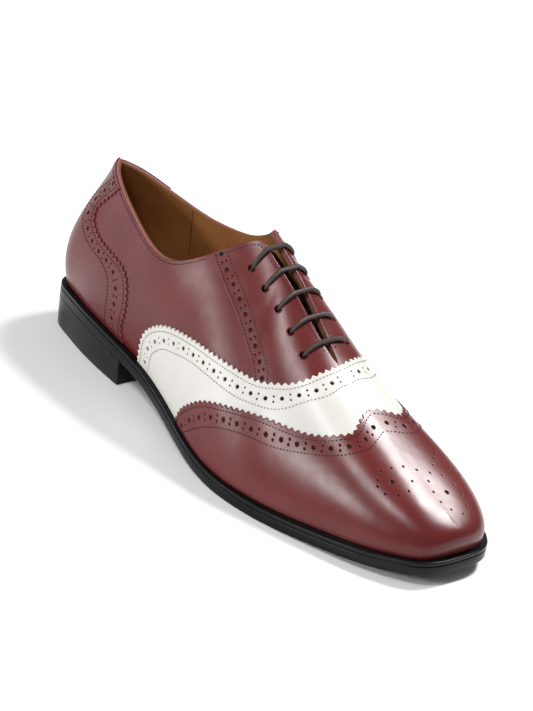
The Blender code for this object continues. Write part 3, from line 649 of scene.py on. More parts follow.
def resample(path, step):
    """The path at even distances over the skin, and those distances."""
    run = run_of(path)
    places = np.linspace(0.0, run[-1], max(2, round(run[-1] / step)) + 1)
    return np.column_stack([np.interp(places, run, column) for column in path.T]), places


def table_path(table):
    """A fine path through a table's rows."""
    rows = np.arange(len(table), dtype=float)
    place = np.linspace(0.0, rows[-1], 40 * len(table))
    return np.column_stack([line_spline(rows, column)(place) for column in table.T])


def collar_path(table):
    """The same for a table whose rise is a share of the way to the collar."""
    path = table_path(table)
    path[:, 1] *= collar_rise(path[:, 0])
    return path


def slide(path, distance):
    """The path moved sideways over the skin, to the right of its run seen from outside."""
    run = np.gradient(form(path[:, 0], path[:, 1]), axis=0)
    aside = unit(np.cross(run, form_normal(path[:, 0], path[:, 1])))
    moved = move_in_skin(LATERAL_SIDE, path, aside * np.broadcast_to(distance, len(path))[:, None])
    moved[:, 1] = np.clip(moved[:, 1], 0.0, 1.0)
    moved[0, 1] = path[0, 1]
    moved[-1, 1] = path[-1, 1]
    return moved


def pinked(path):
    """The path with the rounded saw teeth of a pinking iron."""
    path, places = resample(path, PINK_PITCH / PINK_NODES)
    teeth = max(1, round(places[-1] / PINK_PITCH))
    wave = np.sin(math.tau * teeth * places / places[-1])
    wave *= np.clip(np.minimum(places, places[-1] - places) / PINK_PITCH, 0.0, 1.0)
    sharp = 0.94
    return slide(path, PINK_DEPTH / 2.0 * np.arcsin(sharp * wave) / math.asin(sharp))


def middle_path(first, second):
    """The path midway between two others, matched by their shares of length."""
    share = np.linspace(0.0, 1.0, 300)
    both = []
    for path in (first, second):
        run = run_of(path)
        both.append(np.column_stack([np.interp(share * run[-1], run, column) for column in path.T]))
    return (both[0] + both[1]) / 2.0


def perforation_line(path, pitch=HOLE_PITCH):
    """Centres and radii of large perforations on a path with a small pair after each."""
    path, places = resample(path, pitch / 2.0)
    centres = []
    radii = []
    run = np.gradient(form(path[:, 0], path[:, 1]), axis=0)
    aside = unit(np.cross(run, form_normal(path[:, 0], path[:, 1])))
    for row in range(1, len(path) - 1):
        if row % 2:
            centres.append(path[row])
            radii.append(BIG_HOLE)
            continue
        for way in (-PAIR_REACH, PAIR_REACH):
            moved = move_in_skin(LATERAL_SIDE, path[row:row + 1], aside[row:row + 1] * way)
            centres.append(moved[0])
            radii.append(SMALL_HOLE)
    return np.array(centres), np.array(radii)


def find_place(side, x, y):
    """Rib and rise of the point of the form that stands at x and y."""
    place = np.array((np.interp(x, crest_x(FINE_RIBS), FINE_RIBS), 0.85))
    for _ in range(40):
        here = form(ring_turn(side, place[0]), place[1])[:2]
        along, up = tangents(side, place[0], place[1])
        change = np.linalg.lstsq(np.stack((along[:2], up[:2]), -1), np.array((x, y)) - here, rcond=None)[0]
        place += np.clip(change, -0.1, 0.1)
        place = np.clip(place, 0.02, (RIBS - 0.02, 0.999))
    return place


def throat_centre(x):
    return np.interp(x, crest_x(FINE_RIBS), crest_centre(FINE_RIBS))


def eyelet_places(side):
    across = throat_centre(EYELET_X) + side * EYELET_REACH
    return np.array([find_place(side, x, y) for x, y in zip(EYELET_X, across)])


def rosette(side):
    """The toe's perforations on one side of the crest."""
    centres = []
    radii = []
    for table, radius in ((ROSETTE_LARGE, BIG_HOLE), (ROSETTE_SMALL, SMALL_HOLE)):
        for along, across in table:
            x = along * LENGTH
            y = across * BALL_WIDTH
            off = (y - throat_centre(x)) * side
            if off < 0.0:
                continue
            if off < radius * 2.0:
                y = throat_centre(x) + side * radius * 2.0
            centres.append(find_place(side, x, y))
            radii.append(radius)
    return np.array(centres), np.array(radii)


def ring_loop(side, centre, radius, nodes):
    """Nodes on a circle round a place of the skin, in rib and rise."""
    angle = math.tau * np.arange(nodes) / nodes
    along, up = tangents(side, centre[0], centre[1])
    first = unit(along)
    second = unit(np.cross(np.cross(first, up), first))
    vectors = radius * (np.cos(angle)[:, None] * first + np.sin(angle)[:, None] * second)
    return move_in_skin(side, np.repeat(centre[None, :], nodes, 0), vectors)


def hole_loops(side, centres, radii):
    """The rim of each perforation."""
    return [ring_loop(side, centre, radius, 12 if radius > SMALL_HOLE else 8)
            for centre, radius in zip(centres, radii)]


def edge_distance(points, starts, ends):
    """Least distance of each flat point from any of the segments."""
    least = np.full(len(points), np.inf)
    for first in range(0, len(starts), 200):
        a = starts[first:first + 200]
        run = ends[first:first + 200] - a
        gap = points[:, None, :] - a[None]
        size = np.maximum((run ** 2).sum(-1), 1e-18)
        share = np.clip((gap * run[None]).sum(-1) / size, 0.0, 1.0)
        apart = np.linalg.norm(gap - share[..., None] * run[None], axis=-1)
        least = np.minimum(least, apart.min(1))
    return least


def is_inside(points, loop):
    """Which flat points lie inside a closed loop."""
    a = loop
    b = np.roll(loop, -1, 0)
    inside = np.zeros(len(points), bool)
    for first in range(0, len(points), 4000):
        x = points[first:first + 4000, 0][:, None]
        y = points[first:first + 4000, 1][:, None]
        spans = (a[:, 1] > y) != (b[:, 1] > y)
        rise = np.where(b[:, 1] == a[:, 1], 1.0, b[:, 1] - a[:, 1])
        cut = a[:, 0] + (y - a[:, 1]) * (b[:, 0] - a[:, 0]) / rise
        inside[first:first + 4000] = (spans & (x < cut)).sum(1) % 2 == 1
    return inside


def cut_sheet(outline, holes, spacing):
    """Nodes, triangles and edge distances of a leather piece cut from the flat skin."""
    scale = np.array((FLAT_RIB, FLAT_RISE))
    keep = np.linalg.norm(outline - np.roll(outline, 1, 0), axis=1) > 1e-6
    loops = [outline[keep] * scale] + [hole * scale for hole in holes]
    starts = np.concatenate(loops)
    ends = np.concatenate([np.roll(loop, -1, 0) for loop in loops])
    low = loops[0].min(0)
    high = loops[0].max(0)
    rows = np.arange(low[1], high[1], spacing * math.sqrt(0.75))
    lattice = []
    for number, y in enumerate(rows):
        xs = np.arange(low[0] + (number % 2) * spacing / 2.0, high[0], spacing)
        lattice.append(np.column_stack((xs, np.full(len(xs), y))))
    rim = []
    for loop in loops:
        run = np.roll(loop, -1, 0) - np.roll(loop, 1, 0)
        inward = np.column_stack((-run[:, 1], run[:, 0]))
        inward /= np.maximum(np.linalg.norm(inward, axis=1, keepdims=True), 1e-12)
        rim += [loop + inward * EDGE_ROUND, loop - inward * EDGE_ROUND]
    rim = np.concatenate(rim)
    lattice = np.concatenate(lattice)
    lattice = lattice[edge_distance(lattice, starts, ends) > spacing * 0.55]
    rim = rim[edge_distance(rim, starts, ends) > EDGE_ROUND * 0.8]
    inner = np.concatenate((rim, lattice))
    inner = inner[is_inside(inner, loops[0])]
    for loop in loops[1:]:
        middle = loop.mean(0)
        near = np.linalg.norm(inner - middle, axis=1) < np.linalg.norm(loop - middle, axis=1).max() * 1.02
        inner = inner[~near | ~is_inside(inner, loop)]
    points = np.concatenate((starts, inner))
    edges = []
    first = 0
    for loop in loops:
        count = len(loop)
        edges += [(first + node, first + (node + 1) % count) for node in range(count)]
        first += count
    made = delaunay_2d_cdt([Vector(point) for point in points / spacing], edges, [], 1, 1e-5)
    flat = np.array([tuple(node) for node in made[0]]) * spacing
    faces = np.array([face for face in made[2] if len(face) == 3])
    middles = flat[faces].mean(1)
    wanted = is_inside(middles, loops[0])
    for loop in loops[1:]:
        middle = loop.mean(0)
        near = np.linalg.norm(middles - middle, axis=1) < np.linalg.norm(loop - middle, axis=1).max()
        wanted[near] &= ~is_inside(middles[near], loop)
    faces = faces[wanted]
    a, b, c = (flat[faces[:, corner]] for corner in range(3))
    area = (b[:, 0] - a[:, 0]) * (c[:, 1] - a[:, 1]) - (b[:, 1] - a[:, 1]) * (c[:, 0] - a[:, 0])
    faces[area < 0.0] = faces[area < 0.0][:, ::-1]
    faces = faces[np.abs(area) > 1e-13]
    nodes = flat / scale
    for limit in (0.0, 1.0):
        nodes[np.abs(nodes[:, 1] - limit) < 2e-5, 1] = limit
    for limit in (0.0, float(RIBS)):
        nodes[np.abs(nodes[:, 0] - limit) < 2e-5, 0] = limit
    return nodes, faces, edge_distance(flat, starts, ends)


def leather_piece(name, sheets, outer, inner, materials, slot, node, rounding=0.00022):
    """A closed wall of leather over cut sheets, one for each side, joined where they meet.

    materials are those of its face, of its cut edge and of its back."""
    turn = []
    rise = []
    apart = []
    faces = []
    first = 0
    for side, (nodes, triangles, distance) in sheets:
        turn.append(ring_turn(side, nodes[:, 0]))
        rise.append(nodes[:, 1])
        apart.append(distance)
        faces.append((triangles if side == LATERAL_SIDE else triangles[:, ::-1]) + first)
        first += len(nodes)
    turn = np.concatenate(turn)
    rise = np.concatenate(rise)
    apart = np.concatenate(apart)
    faces = np.concatenate(faces)
    plain = skin(turn, rise, outer)
    keys = np.round(plain / WELD).astype(np.int64)
    _, kept, number = np.unique(keys, axis=0, return_index=True, return_inverse=True)
    number = number.reshape(-1)
    faces = number[faces]
    whole = (faces[:, 0] != faces[:, 1]) & (faces[:, 1] != faces[:, 2]) & (faces[:, 2] != faces[:, 0])
    faces = faces[whole]
    turn, rise, apart = turn[kept], rise[kept], apart[kept]
    pairs = np.concatenate([faces[:, (a, b)] for a, b in ((0, 1), (1, 2), (2, 0))])
    known = set(map(tuple, pairs.tolist()))
    rim = np.array([pair for pair in pairs.tolist() if (pair[1], pair[0]) not in known])
    on_rim = np.zeros(len(turn), bool)
    on_rim[rim.ravel()] = True
    round_off = np.clip(1.0 - apart / EDGE_ROUND, 0.0, 1.0) ** 2 * on_rim
    top = skin(turn, rise, outer - rounding * round_off)
    back = skin(turn, rise, inner)
    normal = square_normal(turn, rise)
    aside = np.zeros_like(top)
    push = unit(np.cross(top[rim[:, 1]] - top[rim[:, 0]], normal[rim[:, 0]]))
    np.add.at(aside, rim[:, 0], push)
    np.add.at(aside, rim[:, 1], push)
    size = np.linalg.norm(aside, axis=1, keepdims=True)
    lean = unit(normal + 0.8 * aside / np.maximum(size, 1e-9) * (size > 0.0))
    count = len(top)
    walls = np.column_stack((rim[:, 1], rim[:, 0], rim[:, 0] + count, rim[:, 1] + count))
    points = np.concatenate((top, back)) + SHIFT
    polygons = faces.tolist() + walls.tolist() + (faces[:, ::-1] + count).tolist()
    kinds = [0] * len(faces) + [1] * len(walls) + [2] * len(faces)
    loops = np.concatenate((lean[faces].reshape(-1, 3), np.repeat(push, 4, 0),
                            -normal[faces[:, ::-1]].reshape(-1, 3)))
    item = add_mesh(name, points, polygons, materials, kinds, loops)
    return settle(item, slot, node)


def square_normal(turn, rise):
    """Normal of the form, matched across the crest where both sides meet."""
    normal = form_normal(turn, rise)
    slope = crest_slope(turn)
    level = unit(np.stack((-slope, 0.0 * slope, 1.0 + 0.0 * slope), -1))
    on_crest = (rise >= 1.0) & (fold(turn) >= OPEN_RIBS)
    return np.where(on_crest[:, None], level, normal)


def add_mesh(name, points, polygons, materials, kinds=None, normals=None):
    mesh = bpy.data.meshes.new(name)
    mesh.from_pydata([tuple(point) for point in points], [], [tuple(face) for face in polygons])
    for material in materials:
        mesh.materials.append(material)
    if kinds is not None:
        mesh.polygons.foreach_set("material_index", np.array(kinds, np.int32))
    mesh.shade_smooth()
    if normals is not None:
        mesh.normals_split_custom_set([tuple(normal) for normal in normals])
    item = bpy.data.objects.new(name, mesh)
    bpy.context.scene.collection.objects.link(item)
    return item


def settle(item, slot, *nodes):
    """Rides the piece on the shoe and hides the CAD nodes it stands for."""
    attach(item, "root")
    for node in nodes:
        if node:
            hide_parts(node)
    return item


def level_line(rib_from, rib_to, rise, step=0.05):
    """Nodes on a line of constant rise, its far end left out."""
    count = max(2, round(abs(rib_to - rib_from) / step))
    ribs = np.linspace(rib_from, rib_to, count, endpoint=False)
    return np.column_stack((ribs, np.full(count, rise)))


def collar_line(rib_from, rib_to, step=0.035):
    """Nodes along the collar and throat edge, the far end left out."""
    count = max(2, round(abs(rib_to - rib_from) / step))
    ribs = np.linspace(rib_from, rib_to, count, endpoint=False)
    return np.column_stack((ribs, collar_rise(ribs)))


def rib_line(rib, rise_from, rise_to, count=60):
    rises = np.linspace(rise_from, rise_to, count, endpoint=False)
    return np.column_stack((np.full(count, rib), rises))


def fit_side(side, path):
    """A path that follows the collar, its rises stretched to that side's own collar."""
    if side == LATERAL_SIDE:
        return path
    ratio = collar_rise(TURN - path[:, 0]) / collar_rise(path[:, 0])
    return np.column_stack((path[:, 0], path[:, 1] * ratio))


def sheets_of(outline, holes_on, spacing, fitted=False):
    """The same cut for both sides, each with its own perforations."""
    made = []
    for side in BOTH:
        own = fit_side(side, outline) if fitted else outline
        made.append((side, cut_sheet(own, holes_on(side), spacing)))
    return made


def eyelet_loops(side):
    return [ring_loop(side, centre, EYELET / 2.0, 16) for centre in eyelet_places(side)]


def add_quarters(leather, cut, tan):
    ends = collar_rise(np.array((0.0,)))
    outline = np.concatenate((
        level_line(0.0, 9.9, 0.0),
        rib_line(9.9, 0.0, 1.0),
        level_line(9.9, THROAT_RIB, 1.0),
        collar_line(THROAT_RIB, 0.0),
        rib_line(0.0, ends[0], 0.0),
    ))
    sheets = sheets_of(outline, eyelet_loops, QUARTER_MESH, fitted=True)
    leather_piece("quarters", sheets, QUARTER_OUT, QUARTER_IN, (leather, cut, tan),
                  "burgundy_leather", "upper")


def add_lining(tan, cut):
    ends = collar_rise(np.array((0.0,)))
    outline = np.concatenate((
        level_line(0.0, RIBS, 0.0, 0.1),
        rib_line(RIBS, 0.0, 1.0, 12),
        level_line(RIBS, THROAT_RIB, 1.0, 0.1),
        collar_line(THROAT_RIB, 0.0),
        rib_line(0.0, ends[0], 0.0, 30),
    ))
    sheets = sheets_of(outline, eyelet_loops, LINING_MESH, fitted=True)
    leather_piece("lining", sheets, LINING_OUT, LINING_IN, (tan, cut, tan),
                  "tan_lining", "upper")


def add_vamp(leather, cut):
    top = pinked(table_path(VAMP_EDGE))
    under, _ = resample(slide(table_path(CAP_EDGE), VAMP_LAP), EDGE_MESH)
    outline = np.concatenate((
        top[:-1],
        level_line(top[-1, 0], under[-1, 0], 1.0),
        under[:0:-1],
        level_line(under[0, 0], top[0, 0], 0.0),
    ))
    line = middle_path(slide(table_path(VAMP_EDGE), EDGE_SEAM), table_path(VAMP_SEAM))
    centres, radii = perforation_line(line)
    sheets = sheets_of(outline, lambda side: hole_loops(side, centres, radii), PANEL_MESH)
    leather_piece("vamp_leather", sheets, VAMP_OUT, VAMP_IN, (leather, cut, cut),
                  "white_leather", "vamp_panel")
    return centres, radii


def add_cap(leather, cut):
    edge_line = pinked(table_path(CAP_EDGE))
    outline = np.concatenate((
        edge_line[:-1],
        level_line(edge_line[-1, 0], float(RIBS), 1.0),
        rib_line(float(RIBS), 1.0, 0.0, 30),
        level_line(float(RIBS), edge_line[0, 0], 0.0),
    ))
    line = middle_path(slide(table_path(CAP_EDGE), EDGE_SEAM), table_path(CAP_SEAM))
    centres, radii = perforation_line(line)
    sheets = []
    places = {}
    for side in BOTH:
        more, sizes = rosette(side)
        places[side] = (np.concatenate((centres, more)), np.concatenate((radii, sizes)))
        sheets.append((side, cut_sheet(outline, hole_loops(side, *places[side]), PANEL_MESH)))
    leather_piece("cap_leather", sheets, CAP_OUT, CAP_IN, (leather, cut, cut),
                  "burgundy_leather", "wing_cap")
    return places


def add_counter(leather, cut):
    front = pinked(collar_path(COUNTER_EDGE))
    top = collar_rise(np.array((0.0,)))[0]
    outline = np.concatenate((
        front[:-1],
        level_line(front[-1, 0], 0.0, 0.0),
        rib_line(0.0, 0.0, top),
        collar_line(0.0, front[0, 0]),
    ))
    line = middle_path(slide(collar_path(COUNTER_EDGE), EDGE_SEAM), collar_path(COUNTER_SEAM))
    centres, radii = perforation_line(line)
    places = {side: (fit_side(side, centres), radii) for side in BOTH}
    sheets = sheets_of(outline, lambda side: hole_loops(side, *places[side]), PANEL_MESH, fitted=True)
    leather_piece("counter_leather", sheets, COUNTER_OUT, QUARTER_OUT, (leather, cut, cut),
                  "burgundy_leather", "counter")
    return places


def facing_rear():
    """The facing's rear edge, from the collar down to the vamp."""
    path = table_path(FACING_EDGE)
    below = path[:, 1] < collar_rise(path[:, 0]) - 0.005
    top = np.array((FACING_EDGE[0, 0], collar_rise(FACING_EDGE[:1, 0])[0]))
    return np.concatenate((top[None, :], path[below]))


def add_facing(name, side, leather, cut):
    rear, _ = resample(facing_rear(), EDGE_MESH)
    under = slide(table_path(VAMP_EDGE), FACING_LAP)
    ends = collar_rise(under[:, 0])
    under = under[(under[:, 0] > rear[-1, 0] + 0.03) & (under[:, 1] < ends - 0.01)]
    under, _ = resample(under, EDGE_MESH)
    outline = np.concatenate((
        rear,
        under,
        collar_line(under[-1, 0], rear[0, 0]),
    ))
    line = slide(facing_rear(), -FACING_BAND / 2.0)
    centres, radii = perforation_line(cut_short(line, 0.001, 0.0))
    centres = fit_side(side, centres)
    holes = hole_loops(side, centres, radii) + eyelet_loops(side)
    sheets = [(side, cut_sheet(fit_side(side, outline), holes, FACING_MESH))]
    leather_piece(name + "_leather", sheets, FACING_OUT, QUARTER_OUT, (leather, cut, cut),
                  "burgundy_leather", name)
    return centres, radii


def plate_rings(turns, profile):
    """Rings over the sole's edge moved in, each at its own height along the shoe."""
    rings = []
    for inset, height in profile:
        ring = edge(turns) - outward(turns)[:, :2] * np.asarray(inset)[..., None]
        rings.append(np.column_stack((ring, height(ring[:, 0]))))
    return rings


def ring_faces(levels, count):
    """Quads between closed rings of nodes that follow each other."""
    faces = []
    for level in range(levels - 1):
        for near in range(count):
            after = (near + 1) % count
            here, there = level * count, (level + 1) * count
            faces.append((here + near, here + after, there + after, there + near))
    return faces


def stacked(name, rings, material, slot, node, sharp=PANEL_SHARP):
    """A closed plate from rings that climb its side, top and bottom paired across."""
    count = len(rings[0])
    faces = ring_faces(len(rings), count)
    last = (len(rings) - 1) * count
    flat = []
    for near in range(count // 2):
        corners = tuple(dict.fromkeys((near, near + 1, (count - near - 1) % count, (count - near) % count)))
        flat.append(tuple(reversed(corners)))
        flat.append(tuple(corner + last for corner in corners))
    item = add_mesh(name, np.concatenate(rings) + SHIFT, faces + flat, (material,))
    for polygon in item.data.polygons[len(faces):]:
        polygon.use_smooth = False
    item.data.set_sharp_from_angle(angle=math.radians(sharp))
    return settle(item, slot, node)


def rounded_side(low, high, radius, lean=0.0):
    """Insets and heights up a side with rounded lower and upper edges."""
    profile = []
    angles = np.linspace(0.0, math.pi / 2.0, 5)
    for angle in angles:
        lift = radius * (1.0 - math.cos(angle))
        profile.append((radius * (1.0 - math.sin(angle)) + lean, lambda x, lift=lift: low(x) + lift))
    for angle in angles[::-1]:
        lift = radius * (1.0 - math.cos(angle))
        profile.append((radius * (1.0 - math.sin(angle)), lambda x, lift=lift: high(x) - lift))
    return profile


def add_sole(black, tan):
    lateral = np.linspace(0.0, RIBS, 221)
    turns = np.concatenate((lateral, TURN - lateral[-2:0:-1]))

    def seam(x):
        return sole_under(x) + OUTSOLE

    outsole = plate_rings(turns, rounded_side(sole_under, seam, 0.0006))
    stacked("outsole_black", outsole, black, "black_sole", "outsole")
    welt = plate_rings(turns, rounded_side(lambda x: seam(x) + 0.0001, sole_top, 0.0007))
    stacked("welt_black", welt, black, "black_sole", "welt")
    inner = ledge_at(turns) - LINING_IN + 0.0002
    floor = plate_rings(turns, ((inner + 0.0004, sole_top), (inner, lambda x: sole_top(x) + 0.0010),
                                (inner + 0.0006, lambda x: sole_top(x) + INSOLE)))
    stacked("insole_tan", floor, tan, "tan_lining", "insole")


def add_heel(black):
    breast = float(np.interp(HEEL_BREAST, edge_x(FINE_RIBS), FINE_RIBS))
    lateral = np.linspace(0.0, breast, 90)
    turns = np.concatenate((lateral, TURN - lateral[:0:-1]))
    rings = []
    for inset, share in ((1.0, 0.0), (0.15, 0.02), (0.0, 0.045), (0.0, 0.5), (0.0, 1.0)):
        inset *= HEEL_ROUND
        ring = edge(turns) - outward(turns)[:, :2] * (inset + HEEL_TAPER * (1.0 - share))
        ring[:, 0] = np.minimum(ring[:, 0], HEEL_BREAST - inset)
        rings.append(np.column_stack((ring, sole_under(ring[:, 0]) * share)))
    stacked("heel_black", rings, black, "black_sole", "heel", HEEL_SHARP)


def grid_faces(rows, columns):
    node = np.arange(rows * columns).reshape(rows, columns)
    quads = np.stack((node[:-1, :-1], node[1:, :-1], node[1:, 1:], node[:-1, 1:]), -1)
    return quads.reshape(-1, 4)


def add_tongue(leather):
    """The tongue under the throat: flanks follow the form and an arch joins them."""
    rows = []
    for turn in np.linspace(TONGUE_TOP, TONGUE_END, 60):
        reach = np.clip((TONGUE_END - turn) / (TONGUE_END - TONGUE_DEEP), 0.0, 1.0)
        reach = reach * reach * (3.0 - 2.0 * reach)
        depth = LINING_IN - 0.0006 - (LACE_ROOM - 0.0006) * reach
        flank = np.linspace(TONGUE_EDGE, TONGUE_ARCH, 14)
        lateral = skin(np.full(14, turn), flank, depth)
        medial = skin(np.full(14, TURN - turn), flank, depth)
        span = np.linalg.norm(medial[-1] - lateral[-1])
        start = unit(lateral[-1] - lateral[-2]) * span
        end = unit(medial[-2] - medial[-1]) * span
        arch = []
        for part in np.linspace(0.0, 1.0, 18)[1:-1]:
            blend = part * part * (3.0 - 2.0 * part)
            arch.append(lateral[-1] * (1.0 - blend) + medial[-1] * blend
                        + start * part * (1.0 - part) ** 2 - end * part * part * (1.0 - part))
        rows.append(np.concatenate((lateral, arch, medial[::-1])))
    outer = np.array(rows)
    normal = unit(np.cross(np.gradient(outer, axis=1), np.gradient(outer, axis=0)))
    normal = normal * np.sign(normal[..., 2:])
    inner = outer - normal * TONGUE_LEATHER
    count = outer.shape[0] * outer.shape[1]
    faces = [tuple(face) for face in grid_faces(*outer.shape[:2])]
    pairs = [(a, b) for face in faces for a, b in zip(face, face[1:] + face[:1])]
    known = set(pairs)
    rim = [(b, a, a + count, b + count) for a, b in pairs if (b, a) not in known]
    back = [tuple(corner + count for corner in reversed(face)) for face in faces]
    points = np.concatenate((outer.reshape(-1, 3), inner.reshape(-1, 3))) + SHIFT
    item = add_mesh("tongue_calf", points, faces + back + rim, (leather,))
    face_outwards(item)
    item.data.set_sharp_from_angle(angle=math.radians(50.0))
    settle(item, "tongue_leather", "tongue")


def face_outwards(item):
    """Turns a closed mesh right side out where its volume comes out negative."""
    points = np.array([tuple(node.co) for node in item.data.vertices])
    volume = 0.0
    for polygon in item.data.polygons:
        corners = points[list(polygon.vertices)]
        for second, third in zip(corners[1:], corners[2:]):
            volume += float(np.dot(corners[0], np.cross(second, third)))
    if volume < 0.0:
        item.data.flip_normals()


def round_corners(points, radius, steps=8):
    """The polyline with its sharp corners turned into short arcs."""
    path = [points[0]]
    for before, corner, after in zip(points, points[1:], points[2:]):
        back = unit(before - corner)
        ahead = unit(after - corner)
        bend = math.acos(float(np.clip(-back @ ahead, -1.0, 1.0)))
        if bend < math.radians(30.0):
            path.append(corner)
            continue
        cut = radius * math.tan(bend / 2.0)
        middle = corner + unit(back + ahead) * radius / math.cos(bend / 2.0)
        first = corner + back * cut - middle
        last = corner + ahead * cut - middle
        for step in range(steps + 1):
            part = step / steps
            turned = (math.sin((1.0 - part) * bend) * first + math.sin(part * bend) * last) / math.sin(bend)
            path.append(middle + turned)
    path.append(points[-1])
    return path


def lace_route():
    """The lace's centre line, in five bars with its hidden runs under the facings."""
    over = LACE / 2.0 + LACE_LIFT
    under = LINING_IN - LACE_ROOM / 2.0
    middle = throat_centre(EYELET_X)
    points = []

    def at(side, x, reach, height):
        rib, rise = find_place(side, x, np.interp(x, EYELET_X, middle) + side * reach)
        points.append(skin(ring_turn(side, rib), rise, height))

    side = MEDIAL_SIDE
    for number, x in enumerate(EYELET_X):
        at(side, x, EYELET_REACH, under)
        at(side, x, EYELET_REACH, QUARTER_IN)
        for reach, sunk in zip(BAR_REACH, BAR_SUNK):
            at(side, x, reach, over - sunk)
        for reach, sunk in zip(BAR_REACH[::-1], BAR_SUNK[::-1]):
            at(-side, x, reach, over - sunk)
        at(-side, x, EYELET_REACH, QUARTER_IN)
        at(-side, x, EYELET_REACH, under)
        side = -side
        if number + 1 < EYELETS:
            at(side, (x + EYELET_X[number + 1]) / 2.0, EYELET_REACH, under)
    for x in EYELET_X[::-1]:
        at(side, x - LACE, EYELET_REACH + LACE * 1.4, under)
    return np.array(round_corners(points, LACE_BEND))


def add_lace(braid):
    """A round cord swept along its route, capped at both ends."""
    route = lace_route()
    run = np.append(0.0, np.cumsum(np.linalg.norm(np.diff(route, axis=0), axis=1)))
    places = np.linspace(0.0, run[-1], round(run[-1] / 0.0007))
    route = np.column_stack([np.interp(places, run, column) for column in route.T])
    for _ in range(3):
        route[1:-1] = (route[:-2] + 2.0 * route[1:-1] + route[2:]) / 4.0
    ahead = unit(np.gradient(route, axis=0))
    side = unit(np.cross(ahead[0], UP))
    sides = 16
    angle = math.tau * np.arange(sides) / sides
    points = []
    for here, way in zip(route, ahead):
        side = unit(side - way * (side @ way))
        over = np.cross(way, side)
        ring = np.cos(angle)[:, None] * side + np.sin(angle)[:, None] * over
        points.append(here + ring * LACE / 2.0)
    points = np.concatenate(points)
    rings = len(route)
    faces = ring_faces(rings, sides)
    faces.append(tuple(range(sides - 1, -1, -1)))
    faces.append(tuple((rings - 1) * sides + near for near in range(sides)))
    item = add_mesh("lace_cord", points + SHIFT, faces, (braid,))
    layer = item.data.uv_layers.new(name="cord")
    uv = np.zeros((len(item.data.loops), 2))
    number = 0
    for row in range(rings - 1):
        for near in range(sides):
            for corner, (along, round_it) in enumerate(((0, 0), (0, 1), (1, 1), (1, 0))):
                uv[number + corner] = (places[row + along] / LACE, (near + round_it) / sides)
            number += 4
    layer.data.foreach_set("uv", uv.ravel())
    face_outwards(item)
    settle(item, "brown_lace", "lace")


def node_tree(name, sizes):
    """A geometry tree with an input for the points, the named sizes and the material."""
    tree = bpy.data.node_groups.new(name, "GeometryNodeTree")
    tree.interface.new_socket("Points", in_out="INPUT", socket_type="NodeSocketGeometry")
    for size, value in sizes.items():
        socket = tree.interface.new_socket(size, in_out="INPUT", socket_type="NodeSocketFloat")
        socket.default_value = value
    tree.interface.new_socket("Material", in_out="INPUT", socket_type="NodeSocketMaterial")
    tree.interface.new_socket("Geometry", in_out="OUTPUT", socket_type="NodeSocketGeometry")
    return tree


def add_node(tree, kind, inputs=None, **options):
    """A node with its options, and each input set to a value or linked to a socket."""
    node = tree.nodes.new(kind)
    for option, value in options.items():
        setattr(node, option, value)
    for name, value in (inputs or {}).items():
        if isinstance(value, bpy.types.NodeSocket):
            tree.links.new(value, node.inputs[name])
        else:
            node.inputs[name].default_value = value
    return node


def named_vector(tree, name):
    node = add_node(tree, "GeometryNodeInputNamedAttribute", {"Name": name}, data_type="FLOAT_VECTOR")
    return node.outputs["Attribute"]


def instance_tree(name, shape, sizes):
    """Copies of a small shape on points, turned along each point's run and normal."""
    tree = node_tree(name, sizes)
    given = tree.nodes.new("NodeGroupInput")
    made = shape(tree, given)
    first = add_node(tree, "FunctionNodeAlignRotationToVector", {"Vector": named_vector(tree, "along")},
                     axis="X")
    turned = {"Rotation": first.outputs["Rotation"], "Vector": named_vector(tree, "normal")}
    second = add_node(tree, "FunctionNodeAlignRotationToVector", turned, axis="Z", pivot_axis="X")
    vary = add_node(tree, "FunctionNodeRandomValue", {"Min": 0.93, "Max": 1.07, "Seed": 7},
                    data_type="FLOAT")
    sized = {0: named_vector(tree, "size"), "Scale": vary.outputs[1]}
    scaled = add_node(tree, "ShaderNodeVectorMath", sized, operation="SCALE")
    copies = add_node(tree, "GeometryNodeInstanceOnPoints", {
        "Points": given.outputs["Points"],
        "Instance": made,
        "Rotation": second.outputs["Rotation"],
        "Scale": scaled.outputs["Vector"],
    })
    real = add_node(tree, "GeometryNodeRealizeInstances", {"Geometry": copies.outputs["Instances"]})
    paint = {"Geometry": real.outputs["Geometry"], "Material": given.outputs["Material"]}
    painted = add_node(tree, "GeometryNodeSetMaterial", paint)
    add_node(tree, "NodeGroupOutput", {"Geometry": painted.outputs["Geometry"]})
    return tree


def smoothed(tree, mesh):
    return add_node(tree, "GeometryNodeSetShadeSmooth", {"Geometry": mesh}).outputs["Geometry"]


def stitch_shape(tree, given):
    """A short rounded bead, longest along the seam."""
    bead = add_node(tree, "GeometryNodeMeshUVSphere", {"Segments": 8, "Rings": 6, "Radius": 0.5})
    turned = add_node(tree, "GeometryNodeTransform", {
        "Geometry": bead.outputs["Mesh"],
        "Rotation": (0.0, math.pi / 2.0, 0.0),
    })
    sizes = add_node(tree, "ShaderNodeCombineXYZ", {
        "X": given.outputs["Length"],
        "Y": given.outputs["Width"],
        "Z": given.outputs["Width"],
    })
    scaled = add_node(tree, "GeometryNodeTransform", {
        "Geometry": turned.outputs["Geometry"],
        "Scale": sizes.outputs["Vector"],
    })
    return smoothed(tree, scaled.outputs["Geometry"])


def hole_shade_shape(tree, given):
    """A thin disc of painted shade, one unit in radius, that closes a perforation at its foot."""
    sizes = {"Vertices": 10, "Radius": 1.0, "Depth": given.outputs["Depth"]}
    return add_node(tree, "GeometryNodeMeshCylinder", sizes).outputs["Mesh"]


